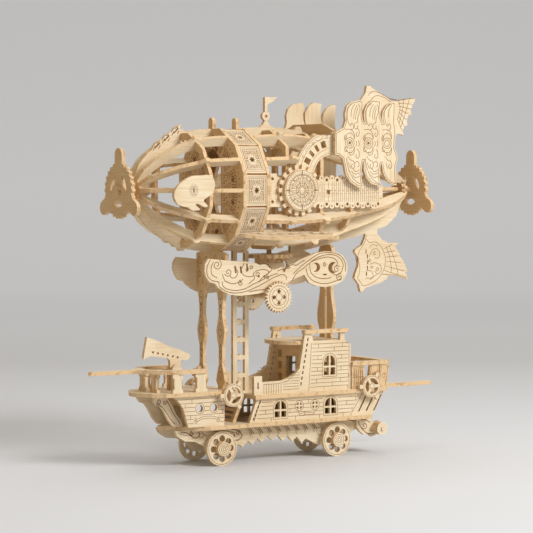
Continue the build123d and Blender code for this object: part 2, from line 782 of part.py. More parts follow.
# Rear columns: two bulging legs on the cabin roof under a crest that takes the keel
rear_leg_inner = 1.9
rear_leg_width = 9.4
rear_crest_drop = 28.1
rear_crest_level = keel_seat - rear_crest_drop
roof_top = roof_level + ply
rear_leg_shares = [
    (0, 0), (0, 1), (0.62, 1), (0.6, 0.8), (0.78, 0.62), (0.96, 0.48), (1, 0.38), (0.96, 0.28), (0.7, 0.14),
    (0.6, 0.06), (0.7, 0),
]
rear_crest_shares = [
    (-1, 0.12), (-1, 0.62), (-0.8, 0.74), (-0.5, 0.74), (-0.32, 1), (0.32, 1), (0.5, 0.74), (0.8, 0.74),
    (1, 0.62), (1, 0.12), (0.7, 0), (-0.7, 0),
]
with BuildPart() as rear_columns:
    with BuildSketch(Plane.YZ.offset(rear_x - ply / 2)):
        rear_leg = outline(
            rear_leg_shares, (rear_leg_inner, roof_top), (rear_leg_width, rear_crest_level - roof_top)
        )
        Polygon(*rear_leg, align=None)
        mirror(about=Plane.YZ)
        Polygon(
            *outline(
                rear_crest_shares, (0, rear_crest_level), (scroll_inner, keel_seat - rear_crest_level)
            ),
            align=None,
        )
    extrude(amount=ply)
finish(rear_columns, "rear_columns")

# Ladder from the aft deck's tongue to the envelope
ladder_bow = -33.7
ladder_width = 14.5
ladder_rail = 3.6
ladder_rungs = 7
ladder_height = envelope_bottom - cabin_foot
rung_width = 3.4
boss_radius = 2.6
with BuildPart() as ladder:
    with BuildSketch(Plane.XZ.offset(-ply / 2)):
        with Locations((ladder_bow, cabin_foot)):
            Rectangle(ladder_width, ladder_height, align=(Align.MIN, Align.MIN))
        with Locations((ladder_bow + ladder_width / 2, cabin_foot + ladder_height / 2)):
            with GridLocations(0, ladder_height / (ladder_rungs + 1), 1, ladder_rungs + 1):
                Rectangle(
                    ladder_width - 2 * ladder_rail,
                    ladder_height / (ladder_rungs + 1) - rung_width,
                    mode=Mode.SUBTRACT,
                )
            with GridLocations(0, ladder_height / (ladder_rungs + 1), 1, ladder_rungs):
                RegularPolygon(boss_radius, 8)
    extrude(amount=ply)
finish(ladder, "ladder")

# Scroll brackets join the columns, with a lobe that carries the cross shaft
scroll_shares = [
    (0.024, 0.885), (0.003, 0.76), (0, 0.62), (0.01, 0.48), (0.035, 0.345), (0.075, 0.3), (0.09, 0.22),
    (0.125, 0.12), (0.17, 0.04), (0.24, 0), (0.305, 0.015), (0.365, 0.035), (0.42, 0.08), (0.465, 0.16),
    (0.535, 0.19), (0.605, 0.34), (0.687, 0.45), (0.723, 0.25), (0.78, 0.165), (0.84, 0.135), (0.915, 0.19),
    (0.967, 0.28), (0.99, 0.42), (1, 0.58), (0.99, 0.76), (0.96, 0.9), (0.913, 0.98), (0.84, 1), (0.77, 0.96),
    (0.723, 0.9), (0.653, 0.81), (0.617, 0.735), (0.582, 0.7), (0.547, 0.52), (0.53, 0.565), (0.536, 0.66),
    (0.478, 0.59), (0.443, 0.63), (0.42, 0.72), (0.374, 0.716), (0.346, 0.76), (0.283, 0.8), (0.203, 0.82),
    (0.148, 0.834), (0.08, 0.867),
]
crescent_rows = (((0.772, 0.62), 3.8, -2.3), ((0.893, 0.6), 4.6, 2.9))
crescent_bite_share = 0.78
smile_share = (0.835, 0.44)
smile = (3.4, 1.3)
scroll_slot_shares = [(0.21, 0.62), (0.247, 0.61), (0.29, 0.66)]
scroll_slot = (1.6, 5.6)
scroll_dot_shares = [(0.368, 0.445), (0.408, 0.44)]
scroll_dot_radius = 1.0


def crescent(outer_radius, bite):
    """Draw a crescent, bitten from the side that the bite's sign gives."""
    with BuildSketch(mode=Mode.PRIVATE) as moon:
        Circle(outer_radius)
        with Locations((bite, 0)):
            Circle(outer_radius * crescent_bite_share, mode=Mode.SUBTRACT)
    return moon.sketch


bearing_radius = 6.0
hand_pitch = hand_teeth * tooth_module / 2
idler_pitch = idler_teeth * tooth_module / 2
crown_pitch = crown_teeth * tooth_module / 2
pinion_pitch = pinion_teeth * tooth_module / 2
idler_level = hand_level + ((hand_pitch + idler_pitch) ** 2 - (works_x - hand_x) ** 2) ** 0.5
shaft_bore = axle_radius + fit
with BuildPart() as scroll_brackets:
    with BuildSketch(Plane.XZ.offset(scroll_inner)):
        Polygon(*outline(scroll_shares, scroll_corner, scroll_size), align=None)
        with Locations((hand_x, hand_level)):
            Circle(bearing_radius)
            Rectangle(2 * bearing_radius, 2 * bearing_radius, align=(Align.CENTER, Align.MIN))
            Circle(shaft_bore, mode=Mode.SUBTRACT)
        with Locations((works_x, idler_level)):
            Circle(shaft_bore, mode=Mode.SUBTRACT)
        for share, crescent_radius, bite in crescent_rows:
            with Locations(*outline([share], scroll_corner, scroll_size)):
                add(crescent(crescent_radius, bite), mode=Mode.SUBTRACT)
        with Locations(*outline([smile_share], scroll_corner, scroll_size)):
            Rectangle(*smile, mode=Mode.SUBTRACT)
        with Locations(*outline(scroll_slot_shares, scroll_corner, scroll_size)):
            Rectangle(*scroll_slot, rotation=8, mode=Mode.SUBTRACT)
        with Locations(*outline(scroll_dot_shares, scroll_corner, scroll_size)):
            Circle(scroll_dot_radius, mode=Mode.SUBTRACT)
    extrude(amount=ply)
    mirror(about=Plane.XZ)
finish(scroll_brackets, "scroll_brackets")

# Cross shaft with two hand gears
hand_gap = 2.0
hand_face = scroll_inner + ply + hand_gap
inner_gear_y = 10.0
mesh_run = (works_x - hand_x, idler_level - hand_level)
mesh_length = hand_pitch + idler_pitch
mesh_dir = (mesh_run[0] / mesh_length, 0, mesh_run[1] / mesh_length)
hand_hole_ring = 4.6
hand_hole_radius = 1.6
mesh_angle = degrees(atan2(mesh_run[1], mesh_run[0]))
with BuildPart() as cross_shaft:
    with BuildSketch(Plane(origin=(hand_x, -hand_face - ply, hand_level), z_dir=(0, 1, 0))):
        Circle(axle_radius)
    extrude(amount=hand_face + scroll_inner + 2 * ply)
finish(cross_shaft, "cross_shaft")

with BuildPart() as hand_gears:
    for face_y in (-hand_face, inner_gear_y + ply / 2):
        with BuildSketch(Plane(origin=(hand_x, face_y, hand_level), x_dir=mesh_dir, z_dir=(0, -1, 0))):
            toothed_disc(hand_teeth, tooth_module)
            with PolarLocations(hand_hole_ring, 4, start_angle=-mesh_angle):
                Circle(hand_hole_radius, mode=Mode.SUBTRACT)
            Circle(axle_radius, mode=Mode.SUBTRACT)
        extrude(amount=ply)
finish(hand_gears, "hand_gears")

# Idler gear on its own shaft
idler_turn = 180 / idler_teeth
idler_dir = (
    mesh_dir[0] * cos(radians(idler_turn)) - mesh_dir[2] * sin(radians(idler_turn)),
    0,
    mesh_dir[2] * cos(radians(idler_turn)) + mesh_dir[0] * sin(radians(idler_turn)),
)
idler_plane = Plane(origin=(works_x, inner_gear_y + ply / 2, idler_level), x_dir=idler_dir, z_dir=(0, -1, 0))
with BuildPart() as idler_gear:
    with BuildSketch(idler_plane):
        toothed_disc(idler_teeth, tooth_module)
    extrude(amount=ply)
    with BuildSketch(Plane(origin=(works_x, 0, idler_level), z_dir=(0, 1, 0))):
        Circle(axle_radius)
    extrude(amount=scroll_inner + ply, both=True)
finish(idler_gear, "idler_gear")

# Upright drive shaft with a crown gear at each end
crown_disc_radius = crown_pitch + ply / 2
crown_tooth_length = ply
crown_tooth_width = 0.75
crown_depth = 0.8
mesh_depth = 0.45
idler_tip = idler_pitch + 0.9 * tooth_module
pinion_tip = pinion_pitch + 0.9 * tooth_module
lower_crown_face = idler_level + idler_tip - mesh_depth + crown_depth
upper_crown_face = axis_level - pinion_tip + mesh_depth - crown_depth
idler_top = Vector(*idler_dir).get_signed_angle(Vector(0, 0, 1), Vector(0, -1, 0))
tooth_offset = idler_top % (360 / idler_teeth)
lower_gap = 90 - tooth_offset * idler_teeth / crown_teeth
crown_half_step = 180 / crown_teeth
with BuildPart() as drive_shaft:
    with BuildSketch(Plane.XY.offset(lower_crown_face)):
        with Locations((works_x, 0)):
            Circle(axle_radius)
    extrude(amount=upper_crown_face - lower_crown_face)
    with BuildSketch(Plane.XY.offset(lower_crown_face)):
        with Locations((works_x, 0)):
            Circle(crown_disc_radius)
    extrude(amount=ply)
    with BuildSketch(Plane.XY.offset(lower_crown_face)):
        with Locations((works_x, 0)):
            with PolarLocations(crown_pitch, crown_teeth, start_angle=lower_gap + crown_half_step):
                Rectangle(crown_tooth_length, crown_tooth_width)
    extrude(amount=-crown_depth)
    with BuildSketch(Plane.XY.offset(upper_crown_face)):
        with Locations((works_x, 0)):
            Circle(crown_disc_radius)
    extrude(amount=-ply)
    with BuildSketch(Plane.XY.offset(upper_crown_face)):
        with Locations((works_x, 0)):
            with PolarLocations(crown_pitch, crown_teeth, start_angle=crown_half_step):
                Rectangle(crown_tooth_length, crown_tooth_width)
    extrude(amount=crown_depth)
finish(drive_shaft, "drive_shaft")

# Peg wheel under the envelope
peg_wheel_radius = 17.0
peg_radius = 2.1
peg_count = 20
peg_wheel_bore_ring = 10.0
with BuildPart() as peg_wheel:
    with BuildSketch(Plane.XY.offset(lower_crown_face + ply)):
        with Locations((works_x, 0)):
            Circle(peg_wheel_radius)
            with PolarLocations(peg_wheel_radius, peg_count):
                RegularPolygon(peg_radius, 8)
            with PolarLocations(peg_wheel_bore_ring, peg_count // 4):
                Circle(peg_radius + ply / 4, mode=Mode.SUBTRACT)
            Circle(axle_radius, mode=Mode.SUBTRACT)
    extrude(amount=ply)
finish(peg_wheel, "peg_wheel")

# Main shaft through the envelope, with the pinion over the upper crown
main_start = bow_propeller_x - ply
main_end = stern_propeller_x + 2 * ply
pinion_x = works_x + crown_pitch
with BuildPart() as main_shaft:
    with BuildSketch(Plane.YZ.offset(main_start)):
        with Locations((0, axis_level)):
            Circle(axle_radius)
    extrude(amount=main_end - main_start)
    with BuildSketch(Plane(origin=(pinion_x - ply / 2, 0, axis_level), x_dir=(0, 1, 0), z_dir=(1, 0, 0))):
        toothed_disc(pinion_teeth, tooth_module)
    extrude(amount=ply)
finish(main_shaft, "main_shaft")

# Propellers: a toothed disc under three finger blades, with slits, a hole and a cap
blade_disc_radius = 21.6
blade_tooth_count = 26
blade_width = 11.0
blade_hub = 8.4
cap_reach = 3.2
slit_ring = 10.1
slit_curve = 10.2
slit_half_width = 2.7
propeller_places = ((bow_propeller_x, -1), (stern_propeller_x, 1))
with BuildSketch(mode=Mode.PRIVATE) as slit:
    with Locations((slit_ring + slit_half_width - slit_curve, 0)):
        Circle(slit_curve)
    with Locations((slit_ring - slit_half_width + slit_curve, 0)):
        Circle(slit_curve, mode=Mode.INTERSECT)
with BuildPart() as propellers:
    for place_x, sign in propeller_places:
        blade_plane = Plane(origin=(place_x, 0, axis_level), x_dir=(0, 1, 0), z_dir=(1, 0, 0))
        with BuildSketch(blade_plane):
            Circle(blade_disc_radius - ply / 2)
            with PolarLocations(blade_disc_radius - ply / 2, blade_tooth_count):
                RegularPolygon(ply / 2, 6)
            with PolarLocations(0, 3, start_angle=90):
                with Locations((propeller_radius - blade_width / 2, 0)):
                    Circle(blade_width / 2)
                Rectangle(
                    propeller_radius - blade_width / 2, blade_width, align=(Align.MIN, Align.CENTER)
                )
            for slit_angle in (30, 150, 270):
                add(slit.sketch, rotation=slit_angle, mode=Mode.SUBTRACT)
            Circle(axle_radius, mode=Mode.SUBTRACT)
        extrude(amount=ply)
        with BuildSketch(Plane.YZ.offset(place_x if sign < 0 else place_x + ply)):
            with Locations((0, axis_level)):
                Circle(blade_hub / 2)
        extrude(amount=sign * cap_reach)
    with BuildSketch(Plane.YZ.offset(main_start)):
        with Locations((0, axis_level)):
            Circle(axle_radius)
    extrude(amount=main_end - main_start, mode=Mode.SUBTRACT)
finish(propellers, "propellers")

# Front frame of the envelope: a twelve sided plate with a doorway and a slot for each rib's tab
tab_inner_share = 0.81818182
tab_inner = ring_radius * tab_inner_share
tab_outer_share = 0.93939394
tab_outer = ring_radius * tab_outer_share
slot_width = ply + 2 * fit
frame_door = (30.0, 35.0)
frame_window_radius = 3.2
frame_window_share = 0.67676768
frame_window_ring = ring_radius * frame_window_share
knob_radius = 3.0
knob_rise = 5.6


def rib_slots(inner, outer, angles):
    """Draw the slots that ribs at these angles leave in a ring, between two radii."""
    with BuildSketch(mode=Mode.PRIVATE) as slots:
        for angle in angles:
            with PolarLocations((inner + outer) / 2, 1, start_angle=angle):
                Rectangle(outer - inner, slot_width)
    return slots.sketch


def twelve_sided(apothem):
    """Draw the twelve sided outline whose flats are that far from the axis."""
    return RegularPolygon(apothem, rib_count, major_radius=False, rotation=rib_step / 2, mode=Mode.PRIVATE)


def ring_face(outer_flat, half_width):
    """Draw a ring of even width, cut flat where the side boards seat."""
    with BuildSketch(mode=Mode.PRIVATE) as face:
        add(twelve_sided(outer_flat))
        Rectangle(2 * half_width, 4 * outer_flat, mode=Mode.INTERSECT)
        offset(amount=-ring_band, kind=Kind.INTERSECTION, mode=Mode.SUBTRACT)
    return face.sketch


def top_knob():
    """Draw the round knob that stands on the top flat of a drum ring."""
    with BuildSketch(mode=Mode.PRIVATE) as knob:
        with Locations((0, ring_apothem + knob_rise)):
            Circle(knob_radius)
            Rectangle(2 * knob_radius, 2 * knob_rise, align=(Align.CENTER, Align.MAX))
    return knob.sketch


def cross_plane(x):
    """Give the plane across the envelope, with angles counted from the near side upwards."""
    return Plane(origin=(x, 0, axis_level), x_dir=(0, -1, 0), z_dir=(-1, 0, 0))


all_angles = [step * rib_step for step in range(rib_count)]
with BuildPart() as front_frame:
    with BuildSketch(cross_plane(front_x + ply)):
        add(top_knob())
        add(twelve_sided(ring_apothem))
        add(rib_slots(tab_inner - fit, tab_outer + fit, all_angles), mode=Mode.SUBTRACT)
        Rectangle(*frame_door, mode=Mode.SUBTRACT)
        with Locations((0, frame_door[1] / 2)):
            RegularPolygon(frame_door[0] / 2, 16, mode=Mode.SUBTRACT)
        with PolarLocations(frame_window_ring, rib_count, start_angle=rib_step / 2):
            RegularPolygon(frame_window_radius, 4, mode=Mode.SUBTRACT)
    extrude(amount=ply)
finish(front_frame, "front_frame")

# Rings: each has its place, how far its flats and its sides reach, and the radius where it laps the ribs
hub_inner = 6.3
flat_shares = (0.88888889, 0.94949495, 0.9010101, 0.77979798)
lap_shares = (0.82828283, 0.88080808, 0.85252525, 0.72727273)
middle_flat, first_flat, second_flat, third_flat = [ring_radius * share for share in flat_shares]
middle_lap, first_lap, second_lap, third_lap = [ring_radius * share for share in lap_shares]
short_rib_angles = (30, 150)
lower_rib_angles = (-30, -60, -120, -150)
upper_rib_angles = (60, 120)
keel_angles = (90, -90)
tabbed_angles = short_rib_angles + lower_rib_angles + upper_rib_angles + (90,)
long_rib_angles = lower_rib_angles + upper_rib_angles + keel_angles
ring_rows = (
    (bow_ring_x, middle_flat, middle_flat, middle_lap, all_angles),
    (stern_ring_xs[0], first_flat, board_inner, first_lap, tabbed_angles),
    (stern_ring_xs[1], second_flat, board_inner, second_lap, long_rib_angles),
    (stern_ring_xs[2], third_flat, board_inner, third_lap, long_rib_angles),
)
with BuildPart() as envelope_rings:
    for ring_x, outer_flat, half_width, lap, angles in ring_rows:
        with BuildSketch(cross_plane(ring_x + ply / 2)):
            add(ring_face(outer_flat, half_width))
            add(rib_slots(lap, outer_flat + ply, angles), mode=Mode.SUBTRACT)
        extrude(amount=ply)
    with BuildSketch(cross_plane(back_x + ply)):
        add(top_knob())
        add(twelve_sided(ring_apothem))
        Circle(tab_inner - 3 * ply, mode=Mode.SUBTRACT)
        add(rib_slots(tab_inner - fit, tab_outer + fit, tabbed_angles), mode=Mode.SUBTRACT)
    extrude(amount=ply)
    for hub_x in (nose_x, tail_x):
        with BuildSketch(cross_plane(hub_x + ply / 2)):
            Circle(hub_ring_radius)
            add(rib_slots(hub_inner, hub_ring_radius + ply, all_angles), mode=Mode.SUBTRACT)
            Circle(shaft_bore, mode=Mode.SUBTRACT)
        extrude(amount=ply)
finish(envelope_rings, "envelope_rings")

# Ribs: bow ribs run from the nose to the front frame, stern ribs from the back ring to the tail
bow_span = front_x - nose_x + ply / 2
bow_corner = (nose_x - ply / 2, 0)
rib_size = (bow_span, ring_apothem)
bow_fore_shares = [(0, 0.19), (0.055, 0.4), (0.17, 0.59), (0.34, 0.765), (0.52, 0.885)]
bump_shares = [(0.555, 0.93), (0.58, 0.98), (0.63, 0.98), (0.655, 0.95)]
seat_shares = [(0.57, 0.905), (0.625, 0.91)]
bow_aft_shares = [(0.69, 0.955), (0.82, 0.985), (1, 1)]
bow_inner_shares = [
    (1, 0.84), (0.82, 0.83), (0.68, 0.8), (0.6, 0.765), (0.5, 0.705), (0.33, 0.565), (0.16, 0.36),
    (0.06, 0.19),
]
side_angles = (0, 180)


def lap_notch(x, start, end):
    """Draw the notch that a ring leaves in a rib."""
    return Polygon(
        (x - slot_width / 2, start),
        (x + slot_width / 2, start),
        (x + slot_width / 2, end),
        (x - slot_width / 2, end),
        align=None,
        mode=Mode.PRIVATE,
    )


def bow_rib_face(crossing_shares):
    """Draw a bow rib with its tab, its ring notch and its own edge where it crosses the ring."""
    with BuildSketch(mode=Mode.PRIVATE) as face:
        Polygon(
            (bow_corner[0], hub_inner + fit),
            *outline(bow_fore_shares, bow_corner, rib_size),
            *outline(crossing_shares, bow_corner, rib_size),
            *outline(bow_aft_shares, bow_corner, rib_size),
            *outline(bow_inner_shares, bow_corner, rib_size),
            (nose_x + ply / 2, hub_inner + fit),
            align=None,
        )
        Polygon(
            (front_x, tab_inner),
            (front_x + ply, tab_inner),
            (front_x + ply, tab_outer),
            (front_x, tab_outer),
            align=None,
        )
        add(lap_notch(bow_ring_x, 0, middle_lap + fit), mode=Mode.SUBTRACT)
    return face.sketch


with BuildPart() as bow_ribs:
    for angle in all_angles:
        if angle != 90:
            with BuildSketch(rib_plane(angle)):
                add(bow_rib_face(seat_shares if angle in side_angles else bump_shares))
            extrude(amount=ply / 2, both=True)
finish(bow_ribs, "bow_ribs")

stern_corner = (back_x + ply, 0)
stern_size = (tail_x - back_x - ply / 2, ring_apothem)
bump_rise = 2.4
bump_half = 2.6
stern_outer_shares = [
    (0, 1.015), (0.1, 1.035), (0.24, 1.035), (0.36, 0.985), (0.43, 0.945), (0.52, 0.875), (0.58, 0.81),
    (0.68, 0.715), (0.76, 0.63), (0.83, 0.54), (0.9, 0.41), (0.96, 0.28), (1, 0.19),
]
stern_inner_shares = [
    (0.95, 0.16), (0.85, 0.29), (0.74, 0.44), (0.62, 0.565), (0.52, 0.67), (0.4, 0.785), (0.3, 0.82),
    (0.15, 0.84), (0, 0.84),
]
keel_outer_shares = [
    (0, 1.06), (0.35, 1.05), (0.45, 0.98), (0.59, 0.88), (0.675, 0.825), (0.77, 0.755), (0.9, 0.63),
    (0.965, 0.46), (1, 0.19),
]
keel_foot_half = 3.0
stern_laps = tuple(zip(stern_ring_xs, (first_lap, second_lap, third_lap)))
beam_x = 39.5
beam_lap_share = 0.86868687
beam_lap = ring_radius * beam_lap_share
short_rib_end = stern_ring_xs[0] + 2 * ply
keel_bow = 20.5


def stern_rib_face(outer_shares, start, end, laps, bumps, has_tab):
    """Draw a stern rib between two places along the axis, with its notches and bumps."""
    with BuildSketch(mode=Mode.PRIVATE) as face:
        Polygon(
            *outline(outer_shares, stern_corner, stern_size),
            (tail_x + ply / 2, hub_inner + fit),
            (tail_x - ply / 2, hub_inner + fit),
            *outline(stern_inner_shares, stern_corner, stern_size),
            align=None,
        )
        for lap_x, lap_radius in bumps:
            with Locations((lap_x, lap_radius + bump_half + bump_rise)):
                RegularPolygon(bump_half + bump_rise / 2, 6)
        with Locations(((start + end) / 2, 0)):
            Rectangle(end - start, 4 * ring_apothem, mode=Mode.INTERSECT)
        if has_tab:
            Polygon(
                (back_x, tab_inner),
                (back_x + ply, tab_inner),
                (back_x + ply, tab_outer),
                (back_x, tab_outer),
                align=None,
            )
        for lap_x, lap_radius in laps:
            add(lap_notch(lap_x, 0, lap_radius + fit), mode=Mode.SUBTRACT)
    return face.sketch


rib_end = tail_x + ply / 2
with BuildPart() as stern_ribs:
    for angle in short_rib_angles:
        with BuildSketch(rib_plane(angle)):
            add(
                stern_rib_face(
                    stern_outer_shares, stern_corner[0], short_rib_end, stern_laps[:1], stern_laps[:1], True
                )
            )
        extrude(amount=ply / 2, both=True)
    for angle in lower_rib_angles + upper_rib_angles:
        with BuildSketch(rib_plane(angle)):
            add(
                stern_rib_face(
                    stern_outer_shares, stern_corner[0], rib_end, stern_laps, stern_laps[:2], True
                )
            )
            if angle in upper_rib_angles:
                add(lap_notch(beam_x, beam_lap - fit, 2 * ring_radius), mode=Mode.SUBTRACT)
        extrude(amount=ply / 2, both=True)
    with BuildSketch(rib_plane(-90)):
        add(stern_rib_face(keel_outer_shares, keel_bow, rib_end, stern_laps[1:], stern_laps[1:2], False))
        with Locations((rear_x, keel_foot_flat)):
            Rectangle(2 * keel_foot_half, ply, align=(Align.CENTER, Align.MAX))
    extrude(amount=ply / 2, both=True)
finish(stern_ribs, "stern_ribs")

# Top keels: the bow one has three saw teeth, the stern one carries the flag
saw_foot_shares = (0.2, 0.32, 0.44)
saw_rise = 8.0
saw_length = 11.0
saw_slit = (6.0, 1.4)
with BuildPart() as top_keels:
    with BuildSketch(rib_plane(90)):
        add(bow_rib_face(bump_shares))
        for foot_share in saw_foot_shares:
            foot = (bow_corner[0] + foot_share * bow_span, ring_apothem * (0.4 + foot_share))
            Polygon(
                foot,
                (foot[0] + saw_length / 2, foot[1] + saw_rise),
                (foot[0] + saw_length, foot[1] + saw_rise * 1.35),
                (foot[0] + saw_length * 0.86, foot[1] + saw_rise * 0.3),
                align=None,
            )
            with Locations((foot[0] + saw_length * 0.6, foot[1] + saw_rise * 0.72)):
                Rectangle(*saw_slit, rotation=42, mode=Mode.SUBTRACT)
    extrude(amount=ply / 2, both=True)
    with BuildSketch(rib_plane(90)):
        add(
            stern_rib_face(
                stern_outer_shares, stern_corner[0], rib_end, stern_laps, stern_laps[1:2], True
            )
        )
        add(lap_notch(beam_x, beam_lap - fit, 2 * ring_radius), mode=Mode.SUBTRACT)
    extrude(amount=ply / 2, both=True)
finish(top_keels, "top_keels")

# Panels between the front frame and the back ring, each with a star
panel_recess = 0.6
panel_outer = ring_apothem - panel_recess
panel_run = back_x - front_x - ply
panel_half = (panel_outer - ply) * sin(radians(rib_step / 2)) / cos(radians(rib_step / 2))
star_outer = 3.4
star_inner = 1.5
star_points = 8
with BuildPart() as envelope_panels:
    for angle in all_angles:
        panel_plane = Plane(
            origin=(
                front_x + ply,
                -(panel_outer - ply) * cos(radians(angle)),
                axis_level + (panel_outer - ply) * sin(radians(angle)),
            ),
            x_dir=(1, 0, 0),
            z_dir=(0, -cos(radians(angle)), sin(radians(angle))),
        )
        with BuildSketch(panel_plane):
            Rectangle(panel_run, 2 * panel_half - 2 * fit, align=(Align.MIN, Align.CENTER))
            star = []
            for step in range(2 * star_points):
                star.append(polar(star_inner if step % 2 else star_outer, step * 180 / star_points))
            with Locations((panel_run / 2, 0)):
                Polygon(*star, align=None, mode=Mode.SUBTRACT)
        extrude(amount=ply)
finish(envelope_panels, "envelope_panels")

# Fish ornaments on the side flats of the middle ring, each with a slit for its eye
fish_seat = middle_flat + fit
fish_reach = 34.6
fish_drop = 15.0
fish_corner = (bow_ring_x - fish_reach, axis_level - fish_drop)
fish_size = (36.2, 27.0)
fish_shares = [
    (0, 0.44), (0.01, 0.52), (0.06, 0.64), (0.13, 0.74), (0.24, 0.84), (0.38, 0.94), (0.51, 0.98),
    (0.67, 0.975), (0.78, 1), (0.93, 0.985), (0.96, 0.89), (0.99, 0.78), (1, 0.7), (0.975, 0.6),
    (0.945, 0.51), (0.87, 0.42),
    (0.73, 0.31), (0.72, 0.26), (0.82, 0.12), (0.76, 0.09), (0.69, 0.12), (0.6, 0.19), (0.52, 0.19),
    (0.53, 0.14), (0.63, 0.04), (0.59, 0.01), (0.45, 0), (0.33, 0.1), (0.22, 0.12), (0.1, 0.17),
    (0.04, 0.25), (0.01, 0.35),
]
fish_eye_share = (0.475, 0.56)
fish_eye = (1.2, 3.4)
with BuildPart() as fish_ornaments:
    with BuildSketch(Plane.XZ.offset(fish_seat)):
        Polygon(*outline(fish_shares, fish_corner, fish_size), align=None)
        with Locations(*outline([fish_eye_share], fish_corner, fish_size)):
            Rectangle(*fish_eye, mode=Mode.SUBTRACT)
    extrude(amount=ply)
    mirror(about=Plane.XZ)
finish(fish_ornaments, "fish_ornaments")

# Gear deck between the first and second rings, with the drive shaft's bearing
gear_deck_half = 9.0
gear_deck_share = 0.88888889
gear_deck_level = axis_level - ring_radius * gear_deck_share
with BuildPart() as gear_deck:
    with BuildSketch(Plane.XY.offset(gear_deck_level)):
        with Locations((stern_ring_xs[0] + ply / 2, 0)):
            Rectangle(
                stern_ring_xs[1] - stern_ring_xs[0] - ply, 2 * gear_deck_half, align=(Align.MIN, Align.CENTER)
            )
        with Locations((works_x, 0)):
            Circle(shaft_bore, mode=Mode.SUBTRACT)
        with Locations((keel_bow - fit, 0)):
            Rectangle(2 * ring_radius, slot_width, align=(Align.MIN, Align.CENTER), mode=Mode.SUBTRACT)
    extrude(amount=ply)
finish(gear_deck, "gear_deck")

# Side boards close the flanks, with scalloped edges, a row of holes and a bore for the compass
board_bow = -8.0
board_stern = 85.0
board_drop = 16.1
board_level = axis_level - board_drop
board_height = 29.0
board_core_share = 0.66
scallop_pitch = 10.0
scallop_start = 30.5
scallop_count = 6
scallop_radius = 2.7
scallop_bore = 1.3
tip_radius = 2.2
tip_bore = 0.7
tip_reach = 1.4
board_square = (3.4, 3.6)
compass_x = 2.9
compass_level = axis_level
with BuildPart() as side_boards:
    with BuildSketch(Plane.XZ.offset(board_inner)):
        with Locations((board_bow, board_level + board_height / 2)):
            Rectangle(
                board_stern - board_bow - ply,
                board_height * board_core_share,
                align=(Align.MIN, Align.CENTER),
            )
        for step in range(scallop_count):
            scallop_x = scallop_start + step * scallop_pitch
            for edge in (-1, 1):
                edge_level = board_level + board_height / 2 + edge * board_height * board_core_share / 2
                with Locations((scallop_x, edge_level)):
                    Circle(scallop_radius)
                    Circle(scallop_bore, mode=Mode.SUBTRACT)
                with Locations((scallop_x - scallop_pitch / 2, edge_level + edge * tip_reach)):
                    Circle(tip_radius)
                    Circle(tip_bore, mode=Mode.SUBTRACT)
        with Locations((compass_x, compass_level)):
            Circle(bore_radius, mode=Mode.SUBTRACT)
        with Locations((board_stern - ply, board_level + board_height / 2)):
            Rectangle(ply, board_height * board_core_share / 2, align=(Align.MIN, Align.CENTER))
        with Locations((scallop_start + ply / 2, board_level + board_height / 2)):
            Rectangle(*board_square, mode=Mode.SUBTRACT)
    extrude(amount=ply)
    mirror(about=Plane.XZ)
finish(side_boards, "side_boards")

# Bracket plates between the back ring and the side boards
bracket_plate_size = (board_bow - fit - back_x - ply, 26.0)
bracket_plate_shares = [(0, 0), (1, 0), (1, 0.9), (0.62, 0.9), (0.58, 1), (0, 1)]
bracket_hole_share = 0.86
with BuildPart() as bracket_plates:
    with BuildSketch(Plane.XZ.offset(board_inner)):
        plate_corner = (back_x + ply, axis_level - bracket_plate_size[1] / 2)
        Polygon(*outline(bracket_plate_shares, plate_corner, bracket_plate_size), align=None)
        with Locations((plate_corner[0] + bracket_plate_size[0] * 0.4, axis_level)):
            with GridLocations(0, bracket_plate_size[1] * bracket_hole_share * 0.8, 1, 2):
                Circle(scallop_bore, mode=Mode.SUBTRACT)
    extrude(amount=ply)
    mirror(about=Plane.XZ)
finish(bracket_plates, "bracket_plates")

# Compass wheels: a pegged gear under an engraved disc, each on its pin in a side board
compass_peg_count = 18
compass_root = 16.4
compass_tip = 19.8
compass_peg_width = 3.3
compass_disc = 15.9
compass_gap = 0.3
compass_face = board_inner + ply + compass_gap
for side, sign in (("near", -1), ("far", 1)):
    with BuildPart() as compass:
        with BuildSketch(
            Plane(origin=(compass_x, sign * compass_face, compass_level), x_dir=(1, 0, 0), z_dir=(0, sign, 0))
        ):
            Circle(compass_root)
            with PolarLocations(0, compass_peg_count):
                Rectangle(compass_tip, compass_peg_width, align=(Align.MIN, Align.CENTER))
        extrude(amount=ply)
        with BuildSketch(
            Plane(origin=(compass_x, sign * (compass_face + ply), compass_level), z_dir=(0, sign, 0))
        ):
            Circle(compass_disc)
        extrude(amount=ply)
        with BuildSketch(Plane(origin=(compass_x, sign * board_inner, compass_level), z_dir=(0, sign, 0))):
            Circle(pin_radius)
        extrude(amount=compass_face - board_inner)
    finish(compass, f"compass_{side}")

# Wing beam across the back of the envelope, lapped into the upper ribs
beam_half = sail_inner
beam_shares = (0.553535354, 0.917171717, 1.058585859)
beam_bottom, beam_top, beam_crown = [ring_radius * share for share in beam_shares]
beam_inner_share = 0.82020202
beam_inner_radius = ring_radius * beam_inner_share
beam_angles = (60, 90, 120)
with BuildPart() as wing_beam:
    with BuildSketch(cross_plane(beam_x + ply / 2)):
        Polygon(
            (-beam_half, beam_bottom),
            (beam_half, beam_bottom),
            (beam_half, beam_top),
            (beam_half / 2, beam_crown),
            (-beam_half / 2, beam_crown),
            (-beam_half, beam_top),
            align=None,
        )
        Circle(beam_inner_radius, mode=Mode.SUBTRACT)
        add(rib_slots(beam_inner_radius - ply, beam_lap, beam_angles), mode=Mode.SUBTRACT)
    extrude(amount=ply)
finish(wing_beam, "wing_beam")

